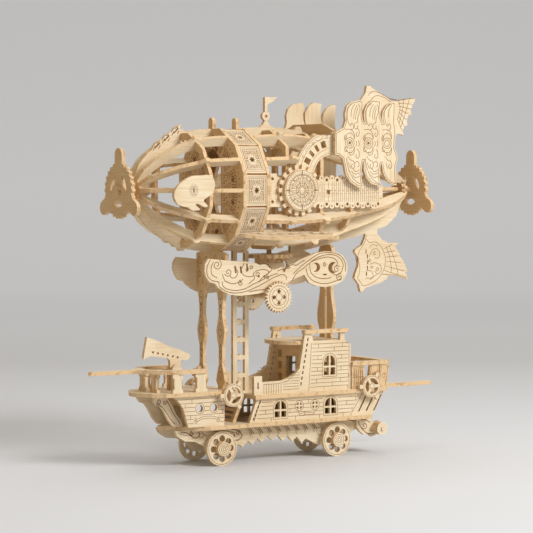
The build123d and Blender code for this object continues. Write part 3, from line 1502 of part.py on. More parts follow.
# Arches rise from the side boards to the wing beam, with windows along their curve
arch_rise = 10.4
arch_level = axis_level + arch_rise
arch_tab = 2.5
arch_centre = (beam_x - ply / 2 - arch_tab, arch_level)
arch_outer = 35.3
arch_inner = 17.5
arch_window_ring = 26.5
arch_window_angles = (152, 137, 123, 108)
arch_window_lengths = (4.6, 3.0, 3.0, 4.6)
arch_window_height = 5.6
arch_foot = board_level + board_height * (1 + board_core_share) / 2
with BuildPart() as arches:
    with BuildSketch(Plane.XZ.offset(board_inner)):
        with Locations(arch_centre):
            Circle(arch_outer)
            Circle(arch_inner, mode=Mode.SUBTRACT)
            with Locations((0, arch_foot - arch_centre[1])):
                Rectangle(arch_outer, arch_outer, align=(Align.MAX, Align.MIN), mode=Mode.INTERSECT)
            for angle, length in zip(arch_window_angles, arch_window_lengths):
                with PolarLocations(arch_window_ring, 1, start_angle=angle):
                    Rectangle(arch_window_height, length, mode=Mode.SUBTRACT)
        Polygon(
            (arch_centre[0], arch_centre[1] + arch_inner),
            (beam_x - ply / 2, arch_centre[1] + arch_inner),
            (beam_x - ply / 2, arch_centre[1] + arch_outer),
            (arch_centre[0], arch_centre[1] + arch_outer),
            align=None,
        )
    extrude(amount=ply)
    mirror(about=Plane.XZ)
finish(arches, "arches")

# Sails: three overlapping blades in one plate, parted by curved slots
sail_reach = 4.3
sail_rise = 1.4
sail_corner = (beam_x - sail_reach, axis_level + sail_rise)
sail_size = (61.4, 70.4)
sail_edge_shares = [
    (0.435, 0.98), (0.38, 0.99), (0.25, 0.965), (0.18, 0.915), (0.15, 0.835), (0.16, 0.755), (0.125, 0.675),
    (0.03, 0.635), (0, 0.615), (0, 0.375), (0.055, 0.37), (0.115, 0.335), (0.14, 0.255), (0.17, 0.15),
    (0.24, 0.07), (0.35, 0.015), (0.45, 0.003), (0.42, 0.07), (0.405, 0.16), (0.42, 0.245), (0.438, 0.309),
    (0.445, 0.309), (0.45, 0.21), (0.49, 0.12), (0.57, 0.05), (0.755, 0.016), (0.715, 0.06), (0.697, 0.13),
    (0.705, 0.21), (0.725, 0.279), (0.735, 0.279), (0.755, 0.18), (0.81, 0.1), (0.88, 0.05), (0.975, 0.03),
    (0.96, 0.16), (0.965, 0.26), (1, 0.345), (0.94, 0.46), (0.965, 0.64), (0.94, 0.735), (0.955, 0.977),
    (0.89, 0.972), (0.81, 0.935), (0.75, 0.865), (0.735, 0.785), (0.752, 0.735), (0.744, 0.735),
    (0.712, 0.81), (0.705, 0.9), (0.723, 0.984), (0.59, 0.997), (0.505, 0.945), (0.455, 0.87), (0.45, 0.81),
    (0.465, 0.735), (0.457, 0.735), (0.425, 0.778), (0.42, 0.86), (0.437, 0.93),
]
sail_hole_shares = [(0.225, 0.508), (0.52, 0.508)]
sail_hole_radius = 1.3
with BuildPart() as sails:
    with BuildSketch(Plane.XZ.offset(sail_inner)):
        Polygon(*outline(sail_edge_shares, sail_corner, sail_size), align=None)
        with Locations(*outline(sail_hole_shares, sail_corner, sail_size)):
            Circle(sail_hole_radius, mode=Mode.SUBTRACT)
    extrude(amount=ply)
    mirror(about=Plane.XZ)
finish(sails, "sails")

# Leaf wings slope out from between the back ring and the first ring
leaf_slope = 18.0
leaf_root_share = 0.62626263
leaf_root_y = ring_radius * leaf_root_share
leaf_root_level = axis_level - leaf_root_y
leaf_root_bow = back_x + ply + fit
leaf_root_stern = stern_ring_xs[0] - ply / 2 - fit
leaf_clear = 8.6
leaf_reach = 18.0
leaf_corner = (back_x - leaf_reach, leaf_clear)
leaf_size = (84.0, 12.0)
leaf_bow_shares = [(0.14, 0), (0.02, 0.1), (0, 0.16), (0.06, 0.4), (0.18, 0.7), (0.32, 0.94), (0.5, 1)]
leaf_stern_shares = [
    (0.62, 0.74), (0.8, 0.86), (0.97, 1), (1, 0.94), (0.84, 0.66), (0.72, 0.5), (0.82, 0.36), (0.97, 0.3),
    (1, 0.22), (0.8, 0.06), (0.66, 0),
]
with BuildPart() as leaf_wings:
    leaf_plane = Plane(
        origin=(0, -leaf_root_y, leaf_root_level),
        x_dir=(1, 0, 0),
        z_dir=(0, -sin(radians(leaf_slope)), cos(radians(leaf_slope))),
    )
    with BuildSketch(leaf_plane):
        Polygon(
            (leaf_root_stern, 0),
            (leaf_root_bow, 0),
            (leaf_root_bow, -leaf_clear),
            *[(x, -y) for x, y in outline(leaf_bow_shares, leaf_corner, leaf_size)],
            *[(x, -y) for x, y in outline(leaf_stern_shares, leaf_corner, leaf_size)],
            (leaf_root_stern, -leaf_clear),
            align=None,
        )
    extrude(amount=ply / 2, both=True)
    mirror(about=Plane.XZ)
finish(leaf_wings, "leaf_wings")

# Flag on the top keel: a foot astride the keel, a post with a ball and a pennant
flag_x = -5.0
flag_foot_shares = [
    (-1, 0), (1, 0), (0.5, 0.3), (0.22, 0.75), (0.2, 1), (-0.2, 1), (-0.22, 0.75), (-0.5, 0.3),
]
flag_foot = (6.5, 6.5)
flag_post = 2.4
flag_ball = 3.6
pennant = (10.5, 6.0)
keel_crest_share = 1.035
keel_crest = axis_level + ring_apothem * keel_crest_share
flag_height = 23.9132
flag_top = keel_crest + flag_height
flag_ball_rise = 8.9132
flag_ball_level = keel_crest + flag_ball_rise
with BuildPart() as flag:
    with BuildSketch(Plane.XZ.offset(-ply / 2)):
        with Locations((flag_x + flag_post, keel_crest)):
            Polygon(*outline(flag_foot_shares, (0, 0), flag_foot), align=None)
            Rectangle(flag_post, flag_top - keel_crest, align=(Align.CENTER, Align.MIN))
        with Locations((flag_x + flag_post, flag_ball_level)):
            Circle(flag_ball)
            Circle(flag_post / 2, mode=Mode.SUBTRACT)
        Polygon(
            (flag_x + flag_post, flag_top),
            (flag_x + flag_post, flag_top - pennant[1]),
            (flag_x + flag_post + pennant[0] / 2, flag_top - pennant[1] * 0.7),
            (flag_x + flag_post + pennant[0], flag_top),
            align=None,
        )
    extrude(amount=ply)
finish(flag, "flag")

# Tail fins: a fan over the stern and a rudder under it


def keel_edge(shares, x, up):
    """Give the point on the edge of a keel at a place along the axis, above or below it."""
    edge = outline(shares, stern_corner, stern_size)
    for start, end in zip(edge, edge[1:]):
        if start[0] <= x <= end[0]:
            radius = start[1] + (end[1] - start[1]) * (x - start[0]) / (end[0] - start[0])
    return (x, axis_level + up * radius)


fin_rise_share = 0.896969697
fin_corner = (84.0, axis_level + ring_radius * fin_rise_share)
fin_size = (61.0, 40.3)
fin_shares = [
    (0.17, 0.85), (0.19, 1), (0.245, 0.99), (0.35, 0.9), (0.47, 0.82), (0.545, 0.77), (0.6, 0.69),
    (0.77, 0.715), (0.89, 0.755), (1, 0.78), (0.985, 0.675), (0.945, 0.63), (0.955, 0.585), (0.915, 0.555),
    (0.945, 0.425), (0.89, 0.435), (0.86, 0.31), (0.87, 0.21), (0.815, 0.196), (0.8, 0.125), (0.785, 0.077),
    (0.815, 0.005), (0.725, 0.04), (0.66, 0.01), (0.56, -0.25),
]
fin_bow_shares = [(0.06, -0.1), (0, 0.12), (0, 0.35), (0.04, 0.6)]
fin_foot_xs = (103.5, 93.5)
rudder_drop_share = 1.696969697
rudder_corner = (83.4, axis_level - ring_radius * rudder_drop_share)
rudder_size = (54.8, 51.0)
rudder_shares = [
    (0.2, 0.89), (0.16, 0.8), (0.14, 0.76), (0.02, 0.69), (0, 0.657), (0.08, 0.55), (0.07, 0.42),
    (0.02, 0.31), (0, 0.233), (0.085, 0.125), (0.11, 0.018), (0.14, 0), (0.208, 0.07), (0.33, 0.104),
    (0.483, 0.14), (0.607, 0.204), (0.63, 0.257), (0.79, 0.25), (1, 0.184), (0.943, 0.316), (0.995, 0.3),
    (0.91, 0.49), (0.82, 0.586), (0.85, 0.6), (0.755, 0.71), (0.81, 0.78), (0.637, 0.784), (0.51, 0.835),
    (0.42, 0.94),
]
rudder_neck_xs = (106.4, 94.6)
rudder_dash_shares = [(0.214, 0.653), (0.24, 0.573), (0.247, 0.48), (0.238, 0.386), (0.222, 0.294)]
rudder_dash = (1.1, 3.4)
with BuildPart() as tail_fins:
    with BuildSketch(Plane.XZ.offset(-ply / 2)):
        Polygon(
            *outline(fin_shares, fin_corner, fin_size),
            *[keel_edge(stern_outer_shares, x, 1) for x in fin_foot_xs],
            *outline(fin_bow_shares, fin_corner, fin_size),
            align=None,
        )
    extrude(amount=ply)
    with BuildSketch(Plane.XZ.offset(-ply / 2)):
        Polygon(
            *outline(rudder_shares, rudder_corner, rudder_size),
            *[keel_edge(keel_outer_shares, x, -1) for x in rudder_neck_xs],
            align=None,
        )
        with Locations(*outline(rudder_dash_shares, rudder_corner, rudder_size)):
            Rectangle(*rudder_dash, mode=Mode.SUBTRACT)
    extrude(amount=ply)
finish(tail_fins, "tail_fins")
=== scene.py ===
import math

import bpy
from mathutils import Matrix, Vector


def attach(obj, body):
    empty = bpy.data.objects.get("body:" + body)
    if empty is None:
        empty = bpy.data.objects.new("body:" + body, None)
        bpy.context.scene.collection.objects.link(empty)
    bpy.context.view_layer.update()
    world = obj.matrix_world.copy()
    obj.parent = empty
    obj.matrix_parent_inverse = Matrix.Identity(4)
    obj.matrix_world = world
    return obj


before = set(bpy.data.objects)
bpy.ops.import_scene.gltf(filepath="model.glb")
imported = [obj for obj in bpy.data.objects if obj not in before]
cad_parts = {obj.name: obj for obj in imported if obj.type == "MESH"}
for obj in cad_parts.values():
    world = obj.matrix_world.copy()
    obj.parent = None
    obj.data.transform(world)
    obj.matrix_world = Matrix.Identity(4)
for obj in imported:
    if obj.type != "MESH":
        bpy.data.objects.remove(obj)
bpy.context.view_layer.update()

MM = 0.001
PLY = 3.0
AXIS = 213.6

# Wood: a pale face, a browner laser-cut edge and a dark engraved line
FACE = (0.82, 0.705, 0.515)
FACE_DARK = (0.68, 0.53, 0.33)
EDGE = (0.72, 0.52, 0.30)
EDGE_DARK = (0.46, 0.265, 0.115)
ENGRAVED = (0.23, 0.11, 0.045)
ROUGHNESS = 0.62
GLOSS = 0.25
DULL_ROUGHNESS = 0.85
DULL_GLOSS = 0.1

# Sheets that face the bow or the stern are tinted a darker, warmer brown: painted shade for faces turned away from the
# lamps
PLAIN_TINT = (1.0, 1.0, 1.0)
CROSS_SHADE_TINT = (0.84, 0.68, 0.49)

# Grain: fine streaks along the sheet, wide blotches, and char on the cut edges
STREAKS_ACROSS = 1500.0
STREAKS_ALONG = 45.0
STREAK_DETAIL = 4.0
STREAK_SHARE = 0.7
BLOTCH_SCALE = 28.0
BLOTCH_SHARE = 0.5
CHAR_SCALE = 260.0
CHAR_LIFT = 0.12
NOISE_DETAIL = 3.0
PATCH_SCALE = 300.0
PATCH_DARK = 0.8
PATCH_LIGHT = 1.25
FACE_STOPS = (0.42, 0.72)
EDGE_STOPS = (0.4, 0.6)
PATCH_STOPS = (0.3, 0.7)
GRAIN_STRENGTH = 0.12
GRAIN_DEPTH = 0.0003
FACE_LEAST = 0.8


def node(tree, kind, place, **values):
    """Add a shader node and set its plain properties."""
    made = tree.nodes.new(kind)
    made.location = place
    for name, value in values.items():
        setattr(made, name, value)
    return made


def maths(tree, operation, first, second=None):
    """Add a maths node fed by sockets or numbers."""
    made = tree.nodes.new("ShaderNodeMath")
    made.operation = operation
    for slot, value in enumerate((first, second)):
        if value is None:
            continue
        if isinstance(value, (int, float)):
            made.inputs[slot].default_value = value
        else:
            tree.links.new(value, made.inputs[slot])
    return made.outputs[0]


def ramp(tree, feed, stops):
    """Turn a socket's value into a colour that runs through the stops."""
    made = node(tree, "ShaderNodeValToRGB", (-600, 0))
    elements = made.color_ramp.elements
    while len(elements) < len(stops):
        elements.new(0.5)
    for element, (position, colour) in zip(elements, stops):
        element.position = position
        element.color = [*colour, 1]
    tree.links.new(feed, made.inputs[0])
    return made.outputs[0]


def noise(tree, feed, scale, detail=None):
    """Add a noise texture fed by a vector."""
    made = node(tree, "ShaderNodeTexNoise", (-1000, -100))
    made.inputs["Scale"].default_value = scale
    if detail is not None:
        made.inputs["Detail"].default_value = detail
    tree.links.new(feed, made.inputs["Vector"])
    return made.outputs[0]


def face_mask(tree, rule):
    """Give a socket that is one on a sheet's faces and zero on its cut edges, and the node of coordinates."""
    coords = node(tree, "ShaderNodeTexCoord", (-1400, 300))
    split = node(tree, "ShaderNodeSeparateXYZ", (-1200, 400))
    tree.links.new(coords.outputs["Normal"], split.inputs[0])
    if rule in "xyz":
        along = maths(tree, "ABSOLUTE", split.outputs["xyz".index(rule)])
    else:
        where = node(tree, "ShaderNodeSeparateXYZ", (-1200, 200))
        tree.links.new(coords.outputs["Object"], where.inputs[0])
        height = maths(tree, "SUBTRACT", where.outputs[2], AXIS * MM)
        across = where.outputs[1]
        height_squared = maths(tree, "MULTIPLY", height, height)
        across_squared = maths(tree, "MULTIPLY", across, across)
        reach = maths(tree, "SQRT", maths(tree, "ADD", height_squared, across_squared))
        join, first, second = ("ADD", 1, 2) if rule == "radial" else ("SUBTRACT", 2, 1)
        dot = maths(
            tree,
            join,
            maths(tree, "MULTIPLY", split.outputs[first], across),
            maths(tree, "MULTIPLY", split.outputs[second], height),
        )
        along = maths(tree, "ABSOLUTE", maths(tree, "DIVIDE", dot, reach))
    return maths(tree, "GREATER_THAN", along, FACE_LEAST), coords


def plywood(name, rule, grain, tint):
    """Make a plywood material whose faces show grain and whose cut edges are browner and charred in patches."""
    material = bpy.data.materials.new(name)
    material.use_nodes = True
    tree = material.node_tree
    shader = tree.nodes["Principled BSDF"]
    shader.inputs["Roughness"].default_value = ROUGHNESS
    shader.inputs["Specular IOR Level"].default_value = GLOSS
    mask, coords = face_mask(tree, rule)
    place = coords.outputs["Object"]

    stretch = node(tree, "ShaderNodeMapping", (-1200, -100))
    scales = [STREAKS_ACROSS] * 3
    scales["xyz".index(grain)] = STREAKS_ALONG
    stretch.inputs["Scale"].default_value = scales
    tree.links.new(place, stretch.inputs[0])
    streaks = noise(tree, stretch.outputs[0], 1.0, STREAK_DETAIL)
    blotches = noise(tree, place, BLOTCH_SCALE, NOISE_DETAIL)
    grain_mix = maths(
        tree, "ADD", maths(tree, "MULTIPLY", streaks, STREAK_SHARE), maths(tree, "MULTIPLY", blotches, BLOTCH_SHARE)
    )
    # The tint scales the face colours; on sheets facing the bow or stern it is painted shade
    face_colours = [[c * share for c, share in zip(colour, tint)] for colour in (FACE_DARK, FACE)]
    face = ramp(tree, grain_mix, list(zip(FACE_STOPS, face_colours)))
    char = maths(tree, "ADD", noise(tree, place, CHAR_SCALE, NOISE_DETAIL), CHAR_LIFT)
    edge = ramp(tree, char, list(zip(EDGE_STOPS, (EDGE_DARK, EDGE))))

    blend = node(tree, "ShaderNodeMix", (-300, 0), data_type="RGBA")
    tree.links.new(mask, blend.inputs[0])
    tree.links.new(edge, blend.inputs[6])
    tree.links.new(face, blend.inputs[7])
    tree.links.new(blend.outputs[2], shader.inputs["Base Color"])

    bump = node(tree, "ShaderNodeBump", (-300, -300))
    bump.inputs["Strength"].default_value = GRAIN_STRENGTH
    bump.inputs["Distance"].default_value = GRAIN_DEPTH
    tree.links.new(streaks, bump.inputs["Height"])
    tree.links.new(bump.outputs[0], shader.inputs["Normal"])
    return material


def burnt():
    """Make the material of the engraved lines."""
    material = bpy.data.materials.new("engraved")
    material.use_nodes = True
    tree = material.node_tree
    shader = tree.nodes["Principled BSDF"]
    shader.inputs["Roughness"].default_value = DULL_ROUGHNESS
    shader.inputs["Specular IOR Level"].default_value = DULL_GLOSS
    coords = node(tree, "ShaderNodeTexCoord", (-1200, 0))
    colours = [[c * share for c in ENGRAVED] for share in (PATCH_DARK, PATCH_LIGHT)]
    patches = noise(tree, coords.outputs["Object"], PATCH_SCALE)
    tree.links.new(ramp(tree, patches, list(zip(PATCH_STOPS, colours))), shader.inputs["Base Color"])
    return material


# Which way each node's sheet faces, and which way its grain runs
SHEETS = {
    ("x", "z"): "front_columns rear_columns",
    ("x", "y"): "fore_bulkhead deck_helm cabin_front cabin_back front_frame envelope_rings wing_beam propellers "
    "main_shaft stern_transom stairs",
    ("y", "x"): "chassis_skirts front_wheels rear_wheels stern_brackets stern_rollers fore_walls bow_braces "
    "telescope telescope_post lower_walls cabin_walls scroll_brackets hand_gears idler_gear fish_ornaments "
    "side_boards bracket_plates compass_near compass_far arches tail_fins side_wheel_bow_near "
    "side_wheel_bow_far side_wheel_stern_near side_wheel_stern_far flag cross_shaft front_axle rear_axle",
    ("y", "z"): "sails ladder rail_posts",
    ("z", "x"): "base_plate foredeck bow_rail aft_deck cabin_roof roof_rails gallery_rail gear_deck peg_wheel "
    "drive_shaft leaf_wings",
    ("radial", "x"): "envelope_panels",
    ("tangent", "x"): "bow_ribs stern_ribs top_keels",
}
# Sheets that look along X get the darker painted-shade tint
for (rule, grain), names in SHEETS.items():
    wood = plywood(f"plywood_{rule}_{grain}", rule, grain, CROSS_SHADE_TINT if rule == "x" else PLAIN_TINT)
    for name in names.split():
        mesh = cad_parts[name].data
        mesh.materials.clear()
        mesh.materials.append(wood)

# Engraved lines: thin burnt ribbons let into the faces of the sheets
LINE = 0.34
RISE = 0.05
SINK = 0.12
TINY = 1e-6
LEAST_MITRE = 0.5
CURL_INNER = 0.18
FLAT_LEAST = 0.99
LEVEL_SLACK = 0.05
SIDES = (("near", -1), ("far", 1))
burnt_wood = burnt()


def side_face(level, sign):
    """Map drawings in X and Z to a face that looks along Y."""
    return lambda u, v: Vector((u, level, v)), Vector((0, sign, 0))


def cross_face(level, sign):
    """Map drawings in Y and Z to a face that looks along X."""
    return lambda u, v: Vector((level, u, v)), Vector((sign, 0, 0))


def offsets(stroke, half):
    """Give the points at each side of a stroke, mitred at its corners."""
    closed = stroke[0] == stroke[-1]
    points = [Vector(p) for p in stroke]
    if closed:
        points = points[:-1]
    lefts, rights = [], []
    count = len(points)
    for i, here in enumerate(points):
        before = points[i - 1] if (closed or i > 0) else None
        after = points[(i + 1) % count] if (closed or i < count - 1) else None
        runs = []
        if before is not None and (here - before).length > TINY:
            runs.append((here - before).normalized())
        if after is not None and (after - here).length > TINY:
            runs.append((after - here).normalized())
        if not runs:
            runs = [Vector((1, 0))]
        normals = [Vector((-run.y, run.x)) for run in runs]
        mean = sum(normals, Vector((0, 0)))
        mean = mean.normalized() if mean.length > TINY else normals[0]
        reach = half / max(LEAST_MITRE, mean.dot(normals[0]))
        lefts.append(here + mean * reach)
        rights.append(here - mean * reach)
    return lefts, rights, closed


def engrave(name, body, face, strokes, width=LINE):
    """Build one piece of engraved lines on a face and let it ride on a body."""
    place, normal = face
    verts, faces = [], []
    for stroke in strokes:
        if len(stroke) < 2:
            continue
        lefts, rights, closed = offsets(stroke, width / 2)
        base = len(verts)
        for left, right in zip(lefts, rights):
            for corner, lift in ((left, RISE), (right, RISE), (right, -SINK), (left, -SINK)):
                verts.append((place(corner.x, corner.y) + normal * lift) * MM)
        count = len(lefts)
        for i in range(count if closed else count - 1):
            a, b = base + 4 * i, base + 4 * ((i + 1) % count)
            for corner in range(4):
                nxt = (corner + 1) % 4
                faces.append((a + corner, a + nxt, b + nxt, b + corner))
        if not closed:
            faces.append((base + 3, base + 2, base + 1, base))
            last = base + 4 * (count - 1)
            faces.append((last, last + 1, last + 2, last + 3))
    mesh = bpy.data.meshes.new(name)
    mesh.from_pydata(verts, [], faces)
    mesh.update()
    mesh.materials.append(burnt_wood)
    piece = bpy.data.objects.new(name, mesh)
    bpy.context.collection.objects.link(piece)
    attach(piece, body)
    return piece


def arc(cx, cy, radius, start, end, steps=16):
    """Draw an arc between two angles in degrees."""
    turns = [math.radians(start + (end - start) * i / steps) for i in range(steps + 1)]
    return [(cx + radius * math.cos(t), cy + radius * math.sin(t)) for t in turns]


def ring(cx, cy, radius, steps=32):
    """Draw a closed circle."""
    points = arc(cx, cy, radius, 0, 360, steps)
    points[-1] = points[0]
    return points


def curl(cx, cy, radius, start, turns, steps=22):
    """Draw a spiral that closes in on its centre; a negative number of turns winds clockwise."""
    points = []
    for i in range(steps + 1):
        share = i / steps
        reach = radius * (1 - (1 - CURL_INNER) * share)
        angle = math.radians(start + 360 * turns * share)
        points.append((cx + reach * math.cos(angle), cy + reach * math.sin(angle)))
    return points


def smooth(points, steps=6):
    """Draw a smooth curve through points."""
    padded = [points[0]] + list(points) + [points[-1]]
    out = []
    for i in range(1, len(padded) - 2):
        p0, p1, p2, p3 = (Vector(p) for p in padded[i - 1 : i + 3])
        slope, bend, twist = p2 - p0, 2 * p0 - 5 * p1 + 4 * p2 - p3, 3 * p1 - p0 - 3 * p2 + p3
        for step in range(steps):
            run = step / steps
            out.append(tuple(0.5 * (2 * p1 + slope * run + bend * run * run + twist * run ** 3)))
    out.append(tuple(points[-1]))
    return out


def mirrored(strokes):
    """Give strokes and their mirror images from side to side."""
    return strokes + [[(-x, y) for x, y in stroke] for stroke in strokes]


def borders(node_name, axis, level, sign, inset):
    """Trace the edges of a node's flat face, moved into the sheet, as closed strokes."""
    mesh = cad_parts[node_name].data
    free = [i for i in range(3) if i != axis]
    edges = set()
    for polygon in mesh.polygons:
        centre = polygon.center / MM
        if polygon.normal[axis] * sign < FLAT_LEAST or abs(centre[axis] - level) > LEVEL_SLACK:
            continue
        order = list(polygon.vertices)
        for a, b in zip(order, order[1:] + order[:1]):
            start, end = (tuple(round(mesh.vertices[v].co[f] / MM, 2) for f in free) for v in (a, b))
            if (end, start) in edges:
                edges.remove((end, start))
            else:
                edges.add((start, end))
    following = {}
    for start, end in sorted(edges):
        following.setdefault(start, []).append(end)
    strokes = []
    while following:
        start = sorted(following)[0]
        loop = [start]
        while loop[-1] in following:
            here = loop[-1]
            loop.append(following[here].pop())
            if not following[here]:
                del following[here]
            if loop[-1] == start:
                break
        if len(loop) > 3 and loop[0] == loop[-1]:
            lefts, rights, _ = offsets(loop, inset)
            inner = lefts if (sign > 0) != (axis == 1) else rights
            points = [tuple(p) for p in inner]
            strokes.append(points + [points[0]])
    return strokes


# Hull walls: planks with staggered seams, parted round the windows, the ports and the benches
WALL_OUT = 24.0
WALL_FOOT = 32.0
CABIN_FOOT = 54.0
PLANK = 3.1
SEAM_STEP = 23.0
SEAM_SHARE = 0.98
LEAST_RUN = 1
SEAM_CLEAR = 1
WINDOW_HALF = 5.5
CASING = 1.3


def planks(low, high, start, end, gaps):
    """Draw plank lines and seams between two levels, where gaps are rows of left, right, foot and head."""
    strokes = []
    for row in range(1, int((high - low) / PLANK) + 1):
        z = low + row * PLANK
        left, right = start(z), end(z)
        spans, here = [], left
        for gap_left, gap_right in sorted((a, b) for a, b, foot, head in gaps if foot <= z <= head):
            if gap_left > here:
                spans.append((here, min(gap_left, right)))
            here = max(here, gap_right)
        spans.append((here, right))
        strokes += [[(a, z), (b, z)] for a, b in spans if b - a > LEAST_RUN]
        seam = left + (row % 3) * SEAM_STEP / 3 + SEAM_STEP / 4
        while seam < right:
            near = [(a, b) for a, b, foot, head in gaps if foot <= z <= head + PLANK]
            if not any(a - SEAM_CLEAR < seam < b + SEAM_CLEAR for a, b in near):
                strokes.append([(seam, z), (seam, z - PLANK * SEAM_SHARE)])
            seam += SEAM_STEP
    return strokes


def window_frame(x, low, height):
    """Draw the casing round an arched window."""
    half = WINDOW_HALF + CASING
    spring = low + height - WINDOW_HALF
    left, right, foot = x - half, x + half, low - CASING
    return [[(left, foot), (left, spring), *arc(x, spring, half, 180, 0, 14), (right, foot), (left, foot)]]


LOWER_GAPS = [(-11, 3.4, 33, 49), (37, 51.4, 33, 49), (10, 18, 39, 47), (25, 33, 39, 47)]
UPPER_GAPS = [(36, 50.4, 64, 84)]
lower_lines = planks(
    WALL_FOOT, 50.4, lambda z: -27.2 + (z - WALL_FOOT) * 0.38, lambda z: 62 + (z - WALL_FOOT) * 0.66, LOWER_GAPS
)
for window_x in (-3.8, 44.2):
    lower_lines += window_frame(window_x, 35, 13)
for port_x in (14.0, 29.0):
    lower_lines.append(ring(port_x, 43, 4.1, 20))
lower_lines += [
    smooth([(12.5, 38), (15, 36.8), (21, 37.6), (27, 36.8), (30, 38)], 5),
    smooth([(13.5, 36.4), (16, 35.2), (21, 35.9), (26, 35.2), (29, 36.4)], 5),
]
lower_lines += [[(-28.8, 32.3), (-22.4, 50.2)], [(63.5, 32.3), (75.6, 50.2)]]

upper_lines = planks(CABIN_FOOT, 92.0, lambda z: 24.2 + (z - CABIN_FOOT) * 0.07, lambda z: 61.6, UPPER_GAPS)
upper_lines += window_frame(43.2, 66, 16)
upper_lines += [[(23.0, 54), (25.6, 92)], [(62.2, 54), (62.2, 90)]]
upper_lines.append(smooth([(-20, 61.6), (-3, 62.0), (6, 65.4), (12.5, 71.5)], 6))
upper_lines += [[(x, 54.2), (x, 61.2)] for x in (-19.5 + 2.3 * i for i in range(8))]
for z in (56.5 + 2.2 * i for i in range(7)):
    upper_lines.append([(-1.5 + max(0, z - 62) * 1.25, z), (13.5 + (z - 56) * 0.1, z)])

FORE_GAPS = [(-82.5, -74, 42, 50.5), (-69.5, -61, 42, 50.5), (-84, -60, 33.6, 40.8)]
fore_lines = planks(WALL_FOOT, 55.5, lambda z: -87.5 - (z - WALL_FOOT) * 0.52, lambda z: -56.4, FORE_GAPS)
for port_x in (-78.2, -65.2):
    fore_lines.append(ring(port_x, 46.2, 4.0, 20))
bench = [(-83, 39.6), (-80.5, 38.2), (-77, 39.4), (-71, 39.9), (-65, 39.4), (-61.8, 38.2), (-60.4, 39.8)]
fore_lines.append(smooth(bench, 5))
fore_lines.append(smooth([(x, z - 1.6) for x, z in bench], 5))
fore_lines += [curl(-81.5, 36.0, 1.8, 90, 1.1), curl(-62.0, 36.0, 1.8, 90, -1.1)]

# Gallery panels
GALLERY_OUT = 25.5
gallery_lines = [[(64.8, 56), (76, 56)], [(64.8, 70.4), (76, 70.4)], [(64.8, 63), (76, 63)]]
for foot in (79.5, 89.5):
    gallery_lines += [
        [(foot + 1.2, 54.5), (foot + 3.9, 71.5)], [(foot + 7.8, 54.5), (foot + 10.6, 71.5)], ring(foot + 6, 63, 1.6, 12)
    ]

# Skirts: a pair of curved barbs above each saw tooth, and waves at the ends
SKIRT_OUT = 15.0
SAW_START = -32
SAW_STEP = 8.6
SAW_TEETH = 9
skirt_lines = []
for tooth in range(SAW_TEETH):
    x = SAW_START + tooth * SAW_STEP
    skirt_lines.append(smooth([(x, 27.5), (x + 4.2, 24.5), (x + 6.4, 19.5)], 5))
    skirt_lines.append(smooth([(x + 2.6, 27.5), (x + 5.4, 25), (x + 7.2, 21)], 5))
skirt_lines += [
    curl(-44, 22, 4.6, 200, 1.2), curl(-72, 24, 3.6, 160, -1.2), curl(40, 21, 4.4, -20, -1.2),
    smooth([(-92, 27), (-82, 24.5), (-76, 26.4), (-66, 24)], 6), smooth([(-60, 26), (-50, 26.5), (-40, 24)], 6),
]

# Rings on the hand gear, the road wheels, their caps and the side wheels, each with its radius and its steps
HAND_GEAR = (-8.9, 130.0)
HAND_OUT = 29.5
HAND_RINGS = ((9.0, 40), (3.0, 20), (6.7, 32))
WHEELS = (("front", (-56.6, 13.5)), ("rear", (52.2, 13.5)))
WHEEL_OUT = 21.8
WHEEL_RINGS = ((12.3, 40), (6.3, 28))
CAP_OUT = 24.8
CAP_RINGS = ((4.4, 24), (2.6, 24), (1.2, 24))
SIDE_WHEELS = (("bow", (-51.1, 55.4)), ("stern", (80.7, 55.5)))
SIDE_WHEEL_OUT = 30.05
SIDE_WHEEL_RINGS = ((8.2, 32), (2.1, 32))


def rings(centre, *rows):
    """Draw circles about one centre."""
    return [ring(*centre, radius, steps) for radius, steps in rows]


for side, sign in SIDES:
    engrave(f"lower_planks_{side}", "frame", side_face(sign * WALL_OUT, sign), lower_lines)
    engrave(f"cabin_planks_{side}", "frame", side_face(sign * WALL_OUT, sign), upper_lines)
    engrave(f"fore_planks_{side}", "frame", side_face(sign * WALL_OUT, sign), fore_lines)
    engrave(f"gallery_lines_{side}", "frame", side_face(sign * GALLERY_OUT, sign), gallery_lines)
    engrave(f"skirt_lines_{side}", "frame", side_face(sign * SKIRT_OUT, sign), skirt_lines)
    for part, out, rows in (("wheel", WHEEL_OUT, WHEEL_RINGS), ("cap", CAP_OUT, CAP_RINGS)):
        for end, centre in WHEELS:
            face = side_face(sign * out, sign)
            engrave(f"{end}_{part}_lines_{side}", f"{end}_wheel_set", face, rings(centre, *rows))
    for end, centre in SIDE_WHEELS:
        face = side_face(sign * SIDE_WHEEL_OUT, sign)
        wheel_lines = rings(centre, *SIDE_WHEEL_RINGS)
        engrave(f"{end}_wheel_lines_{side}", f"side_wheel_{end}_{side}_set", face, wheel_lines)
engrave("hand_lines", "hand_set", side_face(-HAND_OUT, -1), rings(HAND_GEAR, *HAND_RINGS))

# Sails: a border, an eye, leafy scrolls and rays on the outer face of each plate
SAIL_OUT = 43.0
SAIL_CORNER = (35.2, 215.0)
SAIL_SIZE = (61.4, 70.4)
BLADES = 3
BLADE_STEP = 0.297
BLADE_END = 0.925
BLADE_EYE = (0.225, 0.508)
SAIL_BORDER = 1.1
SAIL_BORDER_LEAST = 12
SAIL_LINE = 0.4


def in_sail(points):
    """Turn shares of the sail plate into places."""
    return [(SAIL_CORNER[0] + a * SAIL_SIZE[0], SAIL_CORNER[1] + b * SAIL_SIZE[1]) for a, b in points]


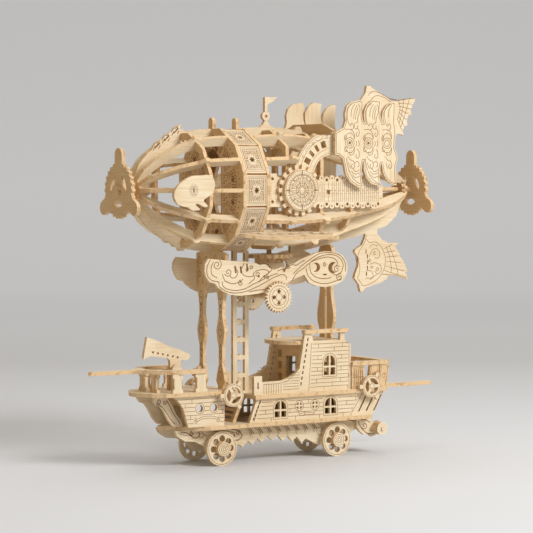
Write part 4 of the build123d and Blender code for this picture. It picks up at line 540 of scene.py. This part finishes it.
# Strokes of one blade, in shares of the whole plate
blade_lines = [
    [(0.27, 0.955), (0.2, 0.9), (0.185, 0.82), (0.2, 0.74), (0.235, 0.7)],
    [(0.36, 0.945), (0.385, 0.9), (0.375, 0.84), (0.35, 0.79), (0.345, 0.74)],
    [(0.335, 0.93), (0.3, 0.86), (0.285, 0.78)], [(0.305, 0.945), (0.255, 0.88), (0.245, 0.8)],
    [(0.35, 0.9), (0.325, 0.84), (0.315, 0.77)],
    [(0.235, 0.7), (0.26, 0.73), (0.285, 0.7), (0.275, 0.665), (0.245, 0.655)],
    [(0.345, 0.74), (0.31, 0.73), (0.295, 0.695), (0.315, 0.665), (0.345, 0.675), (0.345, 0.705)],
    [(0.15, 0.655), (0.2, 0.66), (0.245, 0.655), (0.28, 0.63), (0.3, 0.59), (0.29, 0.55)],
    [(0.345, 0.675), (0.375, 0.64), (0.37, 0.6), (0.34, 0.58), (0.325, 0.61), (0.345, 0.625)],
    [(0.16, 0.6), (0.14, 0.57), (0.15, 0.54), (0.175, 0.55), (0.17, 0.58)],
    [(0.29, 0.46), (0.3, 0.42), (0.28, 0.385), (0.24, 0.37), (0.215, 0.39), (0.235, 0.41)],
    [(0.34, 0.44), (0.37, 0.41), (0.375, 0.36), (0.345, 0.335), (0.32, 0.36), (0.34, 0.38)],
    [(0.155, 0.47), (0.145, 0.43), (0.165, 0.41), (0.19, 0.43)],
    [(0.32, 0.47), (0.335, 0.5), (0.325, 0.53)], [(0.36, 0.47), (0.375, 0.5), (0.36, 0.54)],
    [(0.17, 0.34), (0.19, 0.26), (0.22, 0.19), (0.27, 0.12), (0.33, 0.075), (0.4, 0.045)],
    [(0.2, 0.36), (0.23, 0.32), (0.27, 0.31), (0.3, 0.28), (0.3, 0.24), (0.27, 0.22), (0.25, 0.25), (0.27, 0.27)],
    [(0.3, 0.28), (0.335, 0.3), (0.365, 0.29), (0.37, 0.25), (0.345, 0.24)],
    [(0.28, 0.22), (0.31, 0.19), (0.35, 0.19), (0.37, 0.21)], [(0.25, 0.19), (0.3, 0.16), (0.34, 0.16), (0.375, 0.17)],
    [(0.27, 0.15), (0.31, 0.12), (0.35, 0.125), (0.38, 0.13)], [(0.21, 0.29), (0.22, 0.25), (0.245, 0.22)],
]
sail_lines = [
    stroke
    for stroke in borders("sails", 1, -SAIL_OUT, -1, SAIL_BORDER)
    if max(abs(place[0] - stroke[0][0]) for place in stroke) > SAIL_BORDER_LEAST
]
for blade in range(BLADES):
    shift = blade * BLADE_STEP
    for stroke in blade_lines:
        shifted = [(a + shift, b) for a, b in stroke]
        if max(a for a, _ in shifted) < BLADE_END:
            sail_lines.append(smooth(in_sail(shifted), 4))
    eye_x, eye_z = BLADE_EYE[0] + shift, BLADE_EYE[1]
    sail_lines += rings(in_sail([(eye_x, eye_z)])[0], (4.2, 26), (2.5, 20))
    for side in (-1, 1):
        lid = [(-0.075, 0.04), (-0.035, 0.1), (0.035, 0.105), (0.08, 0.05)]
        sail_lines.append(smooth(in_sail([(eye_x + a, eye_z + side * b) for a, b in lid]), 5))
for side, sign in SIDES:
    engrave(f"sail_lines_{side}", "frame", side_face(sign * SAIL_OUT, sign), sail_lines, SAIL_LINE)

# Compass roses: rings, a scale of degrees, eight points and curls between them
COMPASS = (2.9, AXIS)
COMPASS_FACE = 44.3
COMPASS_LINE = 0.3
COMPASS_HUB = 3.4
COMPASS_INNER = 5.6
COMPASS_MIDDLE = 11.7
SCALE_INNER = 12.4
COMPASS_RIM = 15.2
SCALE_MARKS = 40
POINTS = 8


def turned(radius, angle):
    """Give a place on the compass by its distance and angle."""
    turn = math.radians(angle)
    return (COMPASS[0] + radius * math.cos(turn), COMPASS[1] + radius * math.sin(turn))


compass_lines = rings(
    COMPASS, (COMPASS_RIM, 56), (SCALE_INNER, 56), (COMPASS_MIDDLE, 56), (COMPASS_INNER, 56), (3.3, 24), (2.4, 24)
)
for mark in range(SCALE_MARKS):
    angle = mark * 360 / SCALE_MARKS
    compass_lines.append([turned(SCALE_INNER, angle), turned(13.9 if mark % 5 else COMPASS_RIM, angle)])
for point in range(POINTS):
    tip = point * 360 / POINTS
    bend = tip + 180 / POINTS
    reach = COMPASS_MIDDLE if point % 2 else COMPASS_RIM
    for side in (-1, 1):
        compass_lines.append([turned(COMPASS_HUB, tip + side * 30), turned(7.2, tip + side * 13), turned(reach, tip)])
    compass_lines += [
        [turned(COMPASS_HUB, tip), turned(reach, tip)],
        [turned(COMPASS_INNER, bend), turned(COMPASS_MIDDLE, bend)],
        curl(*turned(9.6, bend - 8), 1.1, bend, 1.1, 10),
        curl(*turned(9.6, bend + 8), 1.1, bend + 180, -1.1, 10),
    ]
for side, sign in SIDES:
    face = side_face(sign * COMPASS_FACE, sign)
    engrave(f"compass_lines_{side}", f"compass_{side}_set", face, compass_lines, COMPASS_LINE)

# Side boards: upright grooves, and borders and scrolls along the arches
BOARD_OUT = 38.0
BOARD_LINE = 0.26
BOARD_FOOT, BOARD_HEAD = 204.2, 220.4
GROOVE_START = 24.0
GROOVE_STEP = 1.95
GROOVES = 30
SLOT_X = 32
SLOT_CLEAR = 2.2
ARCH_CENTRE = (35.5, 224.0)
grooves = [GROOVE_START + GROOVE_STEP * i for i in range(GROOVES)]
board_lines = [[(x, BOARD_FOOT), (x, BOARD_HEAD)] for x in grooves if abs(x - SLOT_X) > SLOT_CLEAR]
board_lines += [[(SLOT_X, BOARD_FOOT), (SLOT_X, 209.6)], [(SLOT_X, 214.4), (SLOT_X, BOARD_HEAD)]]
for i in range(5, GROOVES - 1):
    level = 211 + 2.2 * (i % 2)
    board_lines.append([(grooves[i], level), (grooves[i] + GROOVE_STEP, level)])
for radius, start, end in ((34.2, 97, 172), (30.9, 100, 168), (22.3, 97, 164), (18.7, 97, 166)):
    board_lines.append(arc(*ARCH_CENTRE, radius, start, end, 22))
board_lines += [
    smooth([(10, 243), (13, 247.6), (17, 248.6), (20, 252.4), (24, 252.8), (27, 256.0), (32, 256.6)], 5),
    curl(30.5, 255.4, 1.5, 180, 1.2, 12), curl(8.4, 239.8, 1.5, 100, 1.2, 12), curl(17, 249.8, 1.2, 0, 1.2, 12),
    ring(-24.5, AXIS - 9, 1.9, 14), ring(-24.5, AXIS + 9, 1.9, 14),
    [(-16, AXIS - 6), (-16, AXIS + 5)], [(-13.5, AXIS - 8), (-13.5, AXIS + 7)],
]
board_lines += [[(-22.0, AXIS - 7 + 2 * i), (-22.0, AXIS - 6 + 2 * i)] for i in range(7)]
for side, sign in SIDES:
    engrave(f"board_lines_{side}", "frame", side_face(sign * BOARD_OUT, sign), board_lines, BOARD_LINE)

# Fish: short rays round the eye
FISH_OUT = 47.05
FISH_LINE = 0.24
FISH_EYE = (-97.4, 213.7)
FISH_RAYS = 28
FISH_SQUASH = 0.85
fish_lines = []
for ray in range(FISH_RAYS):
    turn = math.radians(ray * 360 / FISH_RAYS)
    along, up = FISH_SQUASH * math.cos(turn), math.sin(turn)
    near = 1.6 + 0.5 * (ray % 2) + 0.6 * abs(up)
    far = 4.2 + 1.1 * (ray % 2)
    for dash in ((near, near + 0.9), (near + 1.4, far)):
        fish_lines.append([(FISH_EYE[0] + reach * along, FISH_EYE[1] + reach * up) for reach in dash])
for side, sign in SIDES:
    engrave(f"fish_lines_{side}", "frame", side_face(sign * FISH_OUT, sign), fish_lines, FISH_LINE)

# Tail fin and rudder: fan ribs, a border and a swirling ornament
FIN_FACE = 1.5
FIN_LINE = 0.38


def fan(ribs, crossed, shares):
    """Draw a fan's ribs, and the cords that cross some of them at shares of their length."""
    strokes = [[base, tip] for base, tip in ribs]
    for share in shares:
        ends = [ribs[i] for i in crossed]
        strokes.append(smooth([(a[0] + share * (b[0] - a[0]), a[1] + share * (b[1] - a[1])) for a, b in ends], 4))
    return strokes


fan_ribs = [
    ((127.5, 287.0), (144.0, 289.0)), ((128.0, 284.5), (141.5, 284.0)), ((128.4, 282.0), (139.8, 280.0)),
    ((128.6, 279.5), (137.4, 276.0)), ((128.4, 277.0), (135.6, 271.2)), ((127.8, 274.0), (133.6, 266.2)),
    ((126.6, 271.4), (131.6, 262.2)),
]
fan_lines = fan(fan_ribs, (0, 2, 4, 6), (0.35, 0.7))
fan_lines += [
    smooth([(96.5, 290.2), (102, 294.0), (110, 292.0), (118, 288.6), (127.5, 287.0)], 5),
    smooth([(97, 284), (104, 290.0), (112, 289.4), (120, 285.6)], 5),
    smooth([(127.5, 287.0), (129.5, 280), (126.6, 271.4)], 5),
]
rudder_lines = [
    smooth([(88.4, 163.5), (86.8, 158), (88.8, 151), (88.2, 144.5), (86.6, 141.5), (90.0, 137.5), (92.4, 134.8),
            (100, 136.6), (107.5, 140.6), (112.6, 146.4), (114.6, 153), (114.0, 160), (110.4, 166.5), (105, 170.4),
            (99, 170.2), (95.6, 172.6)], 4),
    smooth([(88.4, 163.5), (91.6, 167.5), (94.4, 172.0), (95.6, 176.5)], 4),
    smooth([(98.5, 158.5), (101, 163.5), (105.5, 165.0), (109, 161.6), (107.6, 157.4), (103.6, 157.8)], 4),
    smooth([(99.4, 152.4), (104, 153.6), (109.5, 151.4), (110.6, 147.0), (107, 144.4), (103.6, 146.6)], 4),
    smooth([(96.0, 147.4), (100.5, 146.6), (102.4, 142.4), (99.0, 139.6)], 4),
    smooth([(94.6, 141.2), (100, 141.0), (106.6, 144.0)], 4),
    smooth([(98.6, 166.4), (102.4, 168.4), (107.0, 167.0)], 4),
    curl(103.6, 161.0, 2.0, 40, 1.2, 14), curl(106.6, 148.4, 1.9, 200, 1.2, 14), curl(98.4, 155.4, 1.5, 90, -1.2, 12),
    curl(101.0, 149.6, 1.4, 0, 1.2, 12),
]
rudder_ribs = [
    ((113.6, 165.0), (121.6, 168.4)), ((114.8, 161.6), (124.4, 163.2)), ((115.4, 158.0), (127.4, 158.6)),
    ((115.6, 154.4), (130.6, 153.0)), ((115.0, 150.6), (134.2, 146.0)), ((113.8, 147.0), (136.2, 140.4)),
    ((112.0, 143.8), (126.0, 142.6)),
]
rudder_lines += fan(rudder_ribs, (0, 2, 4, 5), (0.3, 0.62))
for side, sign in SIDES:
    engrave(f"fin_lines_{side}", "frame", side_face(sign * FIN_FACE, sign), fan_lines + rudder_lines, FIN_LINE)

# Drum panels: two borders, upright grooves and rays round each star
PANEL_OUT = 47.21
PANEL_MID = -41.25
PANEL_HALF_X = 8.6
PANEL_HALF_T = 11.0
PANEL_LINE = 0.36
PANELS = 12
GROOVE_SPANS = ((4.9, 8.3), (4.5, 7.5), (4.1, 8.3), (0.8, 7.5), (0.0, 8.3), (0.8, 7.5))
GROOVE_PITCH = 1.05
STAR_RAYS = 16
RAY_LEAN = 11


def panel_face(angle):
    """Map drawings to a drum panel's outer face: along the axis and round it."""
    turn = math.radians(angle)
    out = Vector((0, -math.cos(turn), math.sin(turn)))
    round_way = Vector((0, math.sin(turn), math.cos(turn)))
    return lambda u, v: Vector((PANEL_MID + u, 0, AXIS)) + out * PANEL_OUT + round_way * v, out


def frame_loop(half_x, half_y):
    """Draw a closed rectangle about the origin."""
    return [(-half_x, -half_y), (half_x, -half_y), (half_x, half_y), (-half_x, half_y), (-half_x, -half_y)]


panel_lines = [frame_loop(PANEL_HALF_X - inset, PANEL_HALF_T - inset) for inset in (0.7, 2.0)]
quarter = []
for column, (low, high) in enumerate(GROOVE_SPANS):
    x = 0.7 + column * GROOVE_PITCH
    quarter.append([(x, low), (x, high)])
    if column % 2:
        quarter.append([(x, high), (x + GROOVE_PITCH, high)])
quarter += [[(4.9, 0.8), (5.95, 0.8)], [(0.0, 7.4), (0.0, 5.4)], [(1.75, 5.6), (2.8, 5.6)]]
upper_half = mirrored(quarter)
panel_lines += upper_half + [[(x, -y) for x, y in stroke] for stroke in upper_half]
for ray in range(STAR_RAYS):
    turn = math.radians(ray * 360 / STAR_RAYS + RAY_LEAN)
    panel_lines.append([(reach * math.cos(turn), reach * math.sin(turn)) for reach in (3.7, 4.9)])
for panel in range(PANELS):
    engrave(f"panel_lines_{panel}", "frame", panel_face(panel * 360 / PANELS), panel_lines, PANEL_LINE)

# Front frame: bands of dots, a net, swirls and a doorway, on both faces
FRAME_FACE = -53.5
FRAME_BACK = -50.5
FRAME_LINE = 0.36
DOOR_HALF = 16.4
DOOR_CLEAR = 17.0
FRAME_LEAST_LEVEL = 174.0
SEGMENTS = 12


def round_axis(radius, angle):
    """Give a place on a cross face by its distance from the axis and its angle."""
    return (radius * math.cos(math.radians(angle)), AXIS + radius * math.sin(math.radians(angle)))


def on_frame(stroke):
    """Tell whether a stroke keeps clear of the doorway and of the frame's foot."""
    return all(math.hypot(y, z - AXIS) > DOOR_CLEAR and z > FRAME_LEAST_LEVEL for y, z in stroke)


frame_lines = []
for segment in range(SEGMENTS):
    middle = (segment + 0.5) * 360 / SEGMENTS
    frame_lines.append([round_axis(39.2, middle - 12.5), round_axis(38.6, middle), round_axis(39.2, middle + 12.5)])
    frame_lines += [ring(*round_axis(42.6, middle + turn), 0.55, 8) for turn in (-9, -3, 3, 9)]
    frame_lines += [curl(*round_axis(33.5, middle + turn), 2.4, middle + 40 * turn, 1.2, 14) for turn in (-9, 9)]
    frame_lines += [curl(*round_axis(28.2, middle + turn), 2.9, middle - 30 * turn, 1.3, 16) for turn in (-7.5, 7.5)]
    for i in range(7):
        frame_lines.append([round_axis(36.2, middle - 10 + 4 * i), round_axis(37.8, middle - 12 + 4 * i)])
        frame_lines.append([round_axis(31.2, middle - 11 + 3.6 * i), round_axis(37.8, middle - 10 + 3.6 * i)])
frame_lines += mirrored([[(DOOR_HALF, 195.0), (DOOR_HALF, 232.0)]])
frame_lines = [stroke for stroke in frame_lines if on_frame(stroke)]
door_maze = []
for row in range(6):
    z = 201 + row * 4.4
    door_maze.append([(17.6, z), (20.4, z), (20.4, z + 2.2), (23.4, z + 2.2), (23.4, z + 4.0)])
    door_maze.append([(18.6, z + 2.6), (18.6, z + 1.2)])
frame_lines += mirrored(door_maze)
engrave("frame_lines", "frame", cross_face(FRAME_FACE, -1), frame_lines, FRAME_LINE)
engrave("frame_back_lines", "frame", cross_face(FRAME_BACK, 1), frame_lines, FRAME_LINE)

# Front columns: scrolls on the crest and long waves down each leg
COLUMN_FACE = -53.5
COLUMN_LINE = 0.4
LEG_MIDDLE = 14.2
LEG_WAVES = ((129, 2.6), (119, 1.4), (105, 2.4), (88, 1.5), (72, 2.3))
column_lines = [ring(0, 150.5, 5.3, 26)]
for side in (-1, 1):
    column_lines += [
        curl(side * 15.5, 158, 3.6, 90, side * -1.3, 18), curl(side * 9.5, 153, 3.2, 200, side * 1.3, 18),
        curl(side * 16.5, 147, 3.0, 20, side * 1.2, 16), curl(side * 6.8, 160.5, 2.6, 10, side * -1.2, 14),
        smooth([(side * 19.5, 141), (side * 17.5, 150), (side * 20, 158)], 6),
        smooth([(side * 12.5, 140), (side * 10.5, 147), (side * 4, 149)], 6),
    ]
    leg = side * LEG_MIDDLE
    for middle, width in LEG_WAVES:
        for reach in (-width, width):
            wave = [(leg, -6), (leg + reach, -2.5), (leg + reach * 0.8, 2.5), (leg, 6)]
            column_lines.append(smooth([(y, middle + rise) for y, rise in wave], 5))
        column_lines.append(curl(leg, middle, width * 0.45, 0, 1.2, 12))
engrave("column_lines", "frame", cross_face(COLUMN_FACE, -1), column_lines, COLUMN_LINE)

# Scroll brackets: deep double scrolls, leaves and feathers
SCROLL_OUT = 24.5
SCROLL_LINE = 0.6
SCROLL_CORNER = (-74.3, 131.8)
SCROLL_SIZE = (134.7, 33.1)


def in_scroll(points):
    """Turn shares of the scroll bracket into places."""
    return [(SCROLL_CORNER[0] + a * SCROLL_SIZE[0], SCROLL_CORNER[1] + b * SCROLL_SIZE[1]) for a, b in points]


scroll_paths = [
    [(0.04, 0.86), (0.018, 0.7), (0.02, 0.5), (0.05, 0.38), (0.095, 0.34), (0.1, 0.24), (0.14, 0.13), (0.2, 0.07),
     (0.27, 0.09), (0.33, 0.16), (0.4, 0.27), (0.47, 0.4), (0.53, 0.47), (0.56, 0.42), (0.56, 0.34)],
    [(0.12, 0.34), (0.125, 0.24), (0.16, 0.16), (0.22, 0.13), (0.28, 0.17), (0.33, 0.26), (0.4, 0.37), (0.46, 0.46),
     (0.5, 0.5)],
    [(0.06, 0.82), (0.045, 0.68), (0.05, 0.52), (0.085, 0.44)],
    [(0.12, 0.52), (0.14, 0.36), (0.19, 0.29), (0.24, 0.33), (0.26, 0.4)],
    [(0.2, 0.66), (0.225, 0.58), (0.215, 0.46), (0.19, 0.42), (0.17, 0.48)],
    [(0.27, 0.76), (0.25, 0.62), (0.26, 0.5), (0.3, 0.44), (0.34, 0.46)],
    [(0.3, 0.28), (0.34, 0.4), (0.33, 0.5), (0.36, 0.58), (0.41, 0.6), (0.44, 0.54), (0.42, 0.46)],
    [(0.37, 0.3), (0.39, 0.4), (0.43, 0.5), (0.46, 0.6), (0.44, 0.66)],
    [(0.6, 0.3), (0.63, 0.48), (0.68, 0.6), (0.735, 0.75), (0.8, 0.88), (0.87, 0.92), (0.93, 0.86), (0.965, 0.7),
     (0.955, 0.5), (0.92, 0.42), (0.89, 0.46)],
    [(0.61, 0.48), (0.66, 0.64), (0.72, 0.79), (0.79, 0.935), (0.87, 0.965), (0.94, 0.9), (0.98, 0.72), (0.983, 0.5)],
    [(0.7, 0.6), (0.715, 0.42), (0.76, 0.28), (0.83, 0.22), (0.9, 0.26), (0.955, 0.33)],
    [(0.725, 0.7), (0.735, 0.5), (0.775, 0.38), (0.83, 0.34), (0.88, 0.36)],
    [(0.74, 0.76), (0.79, 0.82), (0.85, 0.86), (0.9, 0.82), (0.925, 0.72), (0.915, 0.62)],
    [(0.47, 0.3), (0.5, 0.24), (0.54, 0.26)],
    [(0.3, 0.08), (0.36, 0.12), (0.42, 0.14), (0.46, 0.2)],
    [(0.5, 0.56), (0.54, 0.6), (0.55, 0.54)],
    [(0.57, 0.64), (0.6, 0.7), (0.63, 0.68), (0.66, 0.74), (0.69, 0.8)],
]
scroll_lines = [smooth(in_scroll(path), 4) for path in scroll_paths]
for share, radius, start, turns in (
    ((0.085, 0.74), 4.2, 60, -1.5), ((0.16, 0.56), 3.4, 200, 1.4), ((0.245, 0.3), 2.4, 90, 1.2),
    ((0.36, 0.48), 2.2, 0, 1.2), ((0.43, 0.4), 1.8, 180, -1.2), ((0.835, 0.68), 1.9, 90, 1.3),
    ((0.94, 0.36), 3.4, 60, 1.4), ((0.92, 0.56), 3.2, 30, 1.3), ((0.575, 0.62), 1.5, 0, 1.1),
    ((0.32, 0.66), 1.8, 250, -1.3), ((0.29, 0.6), 1.6, 30, 1.2),
):
    scroll_lines.append(curl(*in_scroll([share])[0], radius, start, turns, 18))
for side, sign in SIDES:
    engrave(f"scroll_lines_{side}", "frame", side_face(sign * SCROLL_OUT, sign), scroll_lines, SCROLL_LINE)

# Leaf wings: scrolls and leaf veins on the sloping top
LEAF_ROOT = 31.0
LEAF_TURN = math.radians(18)
LEAF_LINE = 0.42


def leaf_face(side):
    """Map drawings to a leaf wing's top: along the axis and out from the root."""
    normal = Vector((0, side * math.sin(LEAF_TURN), math.cos(LEAF_TURN)))
    root = Vector((0, side * LEAF_ROOT, AXIS - LEAF_ROOT)) + normal * (PLY / 2)
    out = Vector((0, side * math.cos(LEAF_TURN), -math.sin(LEAF_TURN)))
    return lambda u, v: root + Vector((u, 0, 0)) + out * v, normal


leaf_lines = [
    smooth([(-46, 10.5), (-40, 12.5), (-30, 16.0), (-18, 18.6), (-8, 19.2), (2, 17.6), (14, 16.6)], 5),
    smooth([(-44, 9.9), (-34, 12.0), (-22, 15.0), (-10, 16.2), (0, 14.8), (12, 13.8), (24, 17.4)], 5),
    smooth([(-28, 9.6), (-16, 11.6), (-4, 12.4), (8, 11.2), (18, 10.4)], 5),
    smooth([(-24, 2.0), (-12, 4.2), (0, 3.6), (12, 1.8)], 5), smooth([(-26, 6.4), (-12, 8.4), (2, 7.6), (16, 5.6)], 5),
]
for x, v, radius, start, turns in (
    (-36, 11.6, 2.6, 20, 1.3), (-27, 13.4, 2.4, 200, -1.3), (-18, 13.6, 2.6, 20, 1.3), (-8, 14.2, 2.4, 200, -1.3),
    (2, 12.8, 2.6, 20, 1.3), (12, 12.6, 2.2, 200, -1.3), (22, 12.2, 2.0, 20, 1.3), (-18, 6.0, 2.2, 90, 1.2),
    (-4, 5.8, 2.2, 270, -1.2), (9, 4.6, 2.0, 90, 1.2),
):
    leaf_lines.append(curl(x, v, radius, start, turns, 16))
for side, sign in SIDES:
    engrave(f"leaf_lines_{side}", "frame", leaf_face(sign), leaf_lines, LEAF_LINE)

# Skirts again, deeper: slashes between the barbs and swirls by the wheels
SWIRL_LINE = 0.7
SLASH_START = -28
SLASHES = 8
swirl_lines = []
for slash in range(SLASHES):
    x = SLASH_START + slash * SAW_STEP
    swirl_lines += [[(x, 26.6), (x + 3.0, 22.8)], [(x + 1.6, 26.8), (x + 4.8, 22.4)]]
swirl_lines += [
    smooth([(-44, 27.4), (-38, 25.8), (-34, 21.6), (-38, 18.2), (-42.4, 19.8), (-41, 23)], 5),
    smooth([(-90, 28), (-84, 26.6), (-78, 22.6), (-74, 23.4), (-73, 26.6)], 5),
    smooth([(66, 28), (73, 26.4), (79, 23.2), (81.6, 25.4)], 5),
    curl(-37.6, 24.0, 2.2, 0, 1.3, 14), curl(78, 25.6, 1.8, 180, -1.2, 12), curl(-80, 26.2, 1.9, 90, 1.3, 14),
]
for side, sign in SIDES:
    engrave(f"swirl_lines_{side}", "frame", side_face(sign * SKIRT_OUT, sign), swirl_lines, SWIRL_LINE)

# Saw teeth on the bow keel: slashes round each slit
KEEL_FACE = 1.5
CARVED_LINE = 0.6
KEEL_TEETH = ((-109.1, 28.7), (-100.8, 34.4), (-92.4, 40.2))
TOOTH_SLASHES = (((2.8, 1.8), (4.8, 5.2)), ((7.8, 3.2), (9.4, 5.8)), ((5.8, 7.3), (8.6, 9.0)))
saw_lines = [
    [(foot_x + x, AXIS + foot_z + z) for x, z in slash] for foot_x, foot_z in KEEL_TEETH for slash in TOOTH_SLASHES
]

# Bow braces and stern brackets: a spiral and a long curl on each outer face
BRACE_OUT = 13.5
BRACKET_OUT = 18.0
brace_lines = [
    curl(-108.8, 52.4, 2.3, 200, 1.3, 16), curl(-103.4, 51.6, 1.9, 20, -1.2, 14),
    smooth([(-110.6, 50.6), (-106.4, 48.6), (-102.4, 44.2), (-98.6, 38.6), (-94.0, 34.0)], 5),
    smooth([(-101.8, 53.4), (-98.6, 48.0), (-95.6, 42.4), (-91.4, 37.0), (-89.2, 33.6)], 5),
]
bracket_lines = [
    curl(82.0, 22.2, 3.0, 200, 1.3, 16), curl(88.4, 19.4, 2.2, 90, -1.3, 14),
    smooth([(75.6, 26.4), (78.8, 20.6), (83.6, 16.6), (88.0, 15.2), (92.0, 15.0)], 5),
    smooth([(78.4, 27.4), (83.0, 26.8), (87.4, 24.6)], 5),
]
for side, sign in SIDES:
    engrave(f"saw_lines_{side}", "frame", side_face(sign * KEEL_FACE, sign), saw_lines, CARVED_LINE)
    engrave(f"brace_lines_{side}", "frame", side_face(sign * BRACE_OUT, sign), brace_lines, CARVED_LINE)
    engrave(f"bracket_lines_{side}", "frame", side_face(sign * BRACKET_OUT, sign), bracket_lines, CARVED_LINE)

# Stage: a pale floor that rises into a backdrop behind the model; the floor's colour darkens toward the back, and the
# backdrop carries a painted glow that brightens from the floor up the wall
STAGE_FRONT = -2.6
STAGE_BACK = 2.6
STAGE_BEND = 1.6
STAGE_HALF = 5.0
STAGE_TOP = 5.0
BEND_STEPS = 24
STAGE_ROUGHNESS = 0.9
STAGE_GLOSS = 0.1
GLOW_START = 0.9
FLOOR = 0.69
FLOOR_FAR = 0.62
FLOOR_TINT = (0.985, 1.015, 1.065)
FLOOR_STOPS = ((0.0, FLOOR), (0.52, FLOOR), (0.78, FLOOR_FAR), (1.0, FLOOR_FAR))
# Painted glow of the backdrop: its tint, and its strength from the floor up the wall
GLOW_TINT = (1.0, 1.03, 1.06)
GLOW_STOPS = ((0.0, 0.0), (0.16, 0.112), (0.5, 0.225), (0.75, 0.25), (1.0, 0.225))

# Lights: place, side, power and colour of each square lamp, all turned to the model's middle
LAMPS = {
    "key": ((0.55, -1.4, 1.1), 0.7, 25, (1.0, 0.985, 0.965)),
    "fill": ((-1.9, -1.1, 0.8), 1.6, 2.5, (1.0, 0.93, 0.84)),
    "top": ((0.1, 0.3, 1.9), 1.4, 12, (1.0, 0.99, 0.97)),
}
LAMP_TARGET = (0, 0, 0.15)
SKY = (1.0, 0.87, 0.71)
SKY_STRENGTH = 0.36
SKY_SEEN = (0.51, 0.51, 0.50)

# Camera, at the photograph's angle
CAMERA_PLACE = (-0.9426, -1.4346, 0.2247)
CAMERA_TURN = math.radians(-33.27)
CAMERA_DIP = math.radians(2.4)
CAMERA_LENS = 145.98
CAMERA_SENSOR = 36
CAMERA_NEAR = 0.05


def make_stage():
    """Build the floor, its bend and the backdrop as one smooth sheet facing the camera."""
    profile = [(STAGE_FRONT, 0.0), (STAGE_BACK, 0.0)]
    for step in range(1, BEND_STEPS + 1):
        turn = math.radians(90 * step / BEND_STEPS)
        profile.append((STAGE_BACK + STAGE_BEND * math.sin(turn), STAGE_BEND * (1 - math.cos(turn))))
    profile.append((STAGE_BACK + STAGE_BEND, STAGE_TOP))
    verts = [(across, along, up) for along, up in profile for across in (-STAGE_HALF, STAGE_HALF)]
    faces = [(2 * i, 2 * i + 1, 2 * i + 3, 2 * i + 2) for i in range(len(profile) - 1)]
    mesh = bpy.data.meshes.new("backdrop")
    mesh.from_pydata(verts, [], faces)
    mesh.polygons.foreach_set("use_smooth", [True] * len(mesh.polygons))
    stage = bpy.data.objects.new("backdrop", mesh)
    stage.rotation_euler = (0, 0, CAMERA_TURN)
    bpy.context.collection.objects.link(stage)
    material = bpy.data.materials.new("backdrop")
    material.use_nodes = True
    tree = material.node_tree
    shader = tree.nodes["Principled BSDF"]
    shader.inputs["Roughness"].default_value = STAGE_ROUGHNESS
    shader.inputs["Specular IOR Level"].default_value = STAGE_GLOSS
    coords = node(tree, "ShaderNodeTexCoord", (-900, 0))
    split = node(tree, "ShaderNodeSeparateXYZ", (-700, 0))
    tree.links.new(coords.outputs["Object"], split.inputs[0])
    # The base colour darkens toward the back, and the emission paints a glow onto the backdrop
    for socket, tint, start, end, stops in (
        ("Base Color", FLOOR_TINT, STAGE_FRONT, STAGE_BACK, FLOOR_STOPS),
        ("Emission Color", GLOW_TINT, GLOW_START, STAGE_BACK + STAGE_BEND, GLOW_STOPS),
    ):
        run = maths(tree, "DIVIDE", maths(tree, "SUBTRACT", split.outputs[1], start), end - start)
        colours = [(position, [grey * share for share in tint]) for position, grey in stops]
        tree.links.new(ramp(tree, run, colours), shader.inputs[socket])
    shader.inputs["Emission Strength"].default_value = 1.0
    mesh.materials.append(material)


def make_lamp(name, place, side, power, colour):
    """Add a square area lamp that looks at the model."""
    light = bpy.data.lights.new(name, "AREA")
    light.shape = "SQUARE"
    light.size = side
    light.energy = power
    light.color = colour
    lamp = bpy.data.objects.new(name, light)
    lamp.location = place
    lamp.rotation_euler = (Vector(LAMP_TARGET) - Vector(place)).to_track_quat("-Z", "Y").to_euler()
    bpy.context.collection.objects.link(lamp)


def make_sky():
    """Light the scene with a warm sky that the camera sees as plain grey."""
    world = bpy.data.worlds.new("studio")
    bpy.context.scene.world = world
    world.use_nodes = True
    tree = world.node_tree
    sky = tree.nodes["Background"]
    sky.inputs[0].default_value = (*SKY, 1)
    sky.inputs[1].default_value = SKY_STRENGTH
    seen = node(tree, "ShaderNodeBackground", (-300, -200))
    seen.inputs[0].default_value = (*SKY_SEEN, 1)
    path = node(tree, "ShaderNodeLightPath", (-300, 300))
    mixed = node(tree, "ShaderNodeMixShader", (0, 0))
    tree.links.new(path.outputs["Is Camera Ray"], mixed.inputs[0])
    tree.links.new(sky.outputs[0], mixed.inputs[1])
    tree.links.new(seen.outputs[0], mixed.inputs[2])
    tree.links.new(mixed.outputs[0], tree.nodes["World Output"].inputs[0])


def make_camera():
    """Place the camera and make it the scene's own."""
    data = bpy.data.cameras.new("camera")
    data.lens = CAMERA_LENS
    data.sensor_width = CAMERA_SENSOR
    data.clip_start = CAMERA_NEAR
    camera = bpy.data.objects.new("camera", data)
    camera.location = CAMERA_PLACE
    camera.rotation_euler = (math.radians(90) - CAMERA_DIP, 0, CAMERA_TURN)
    bpy.context.collection.objects.link(camera)
    bpy.context.scene.camera = camera


make_stage()
for lamp_name, lamp_row in LAMPS.items():
    make_lamp(lamp_name, *lamp_row)
make_sky()
make_camera()
bpy.context.scene.view_settings.view_transform = "Standard"
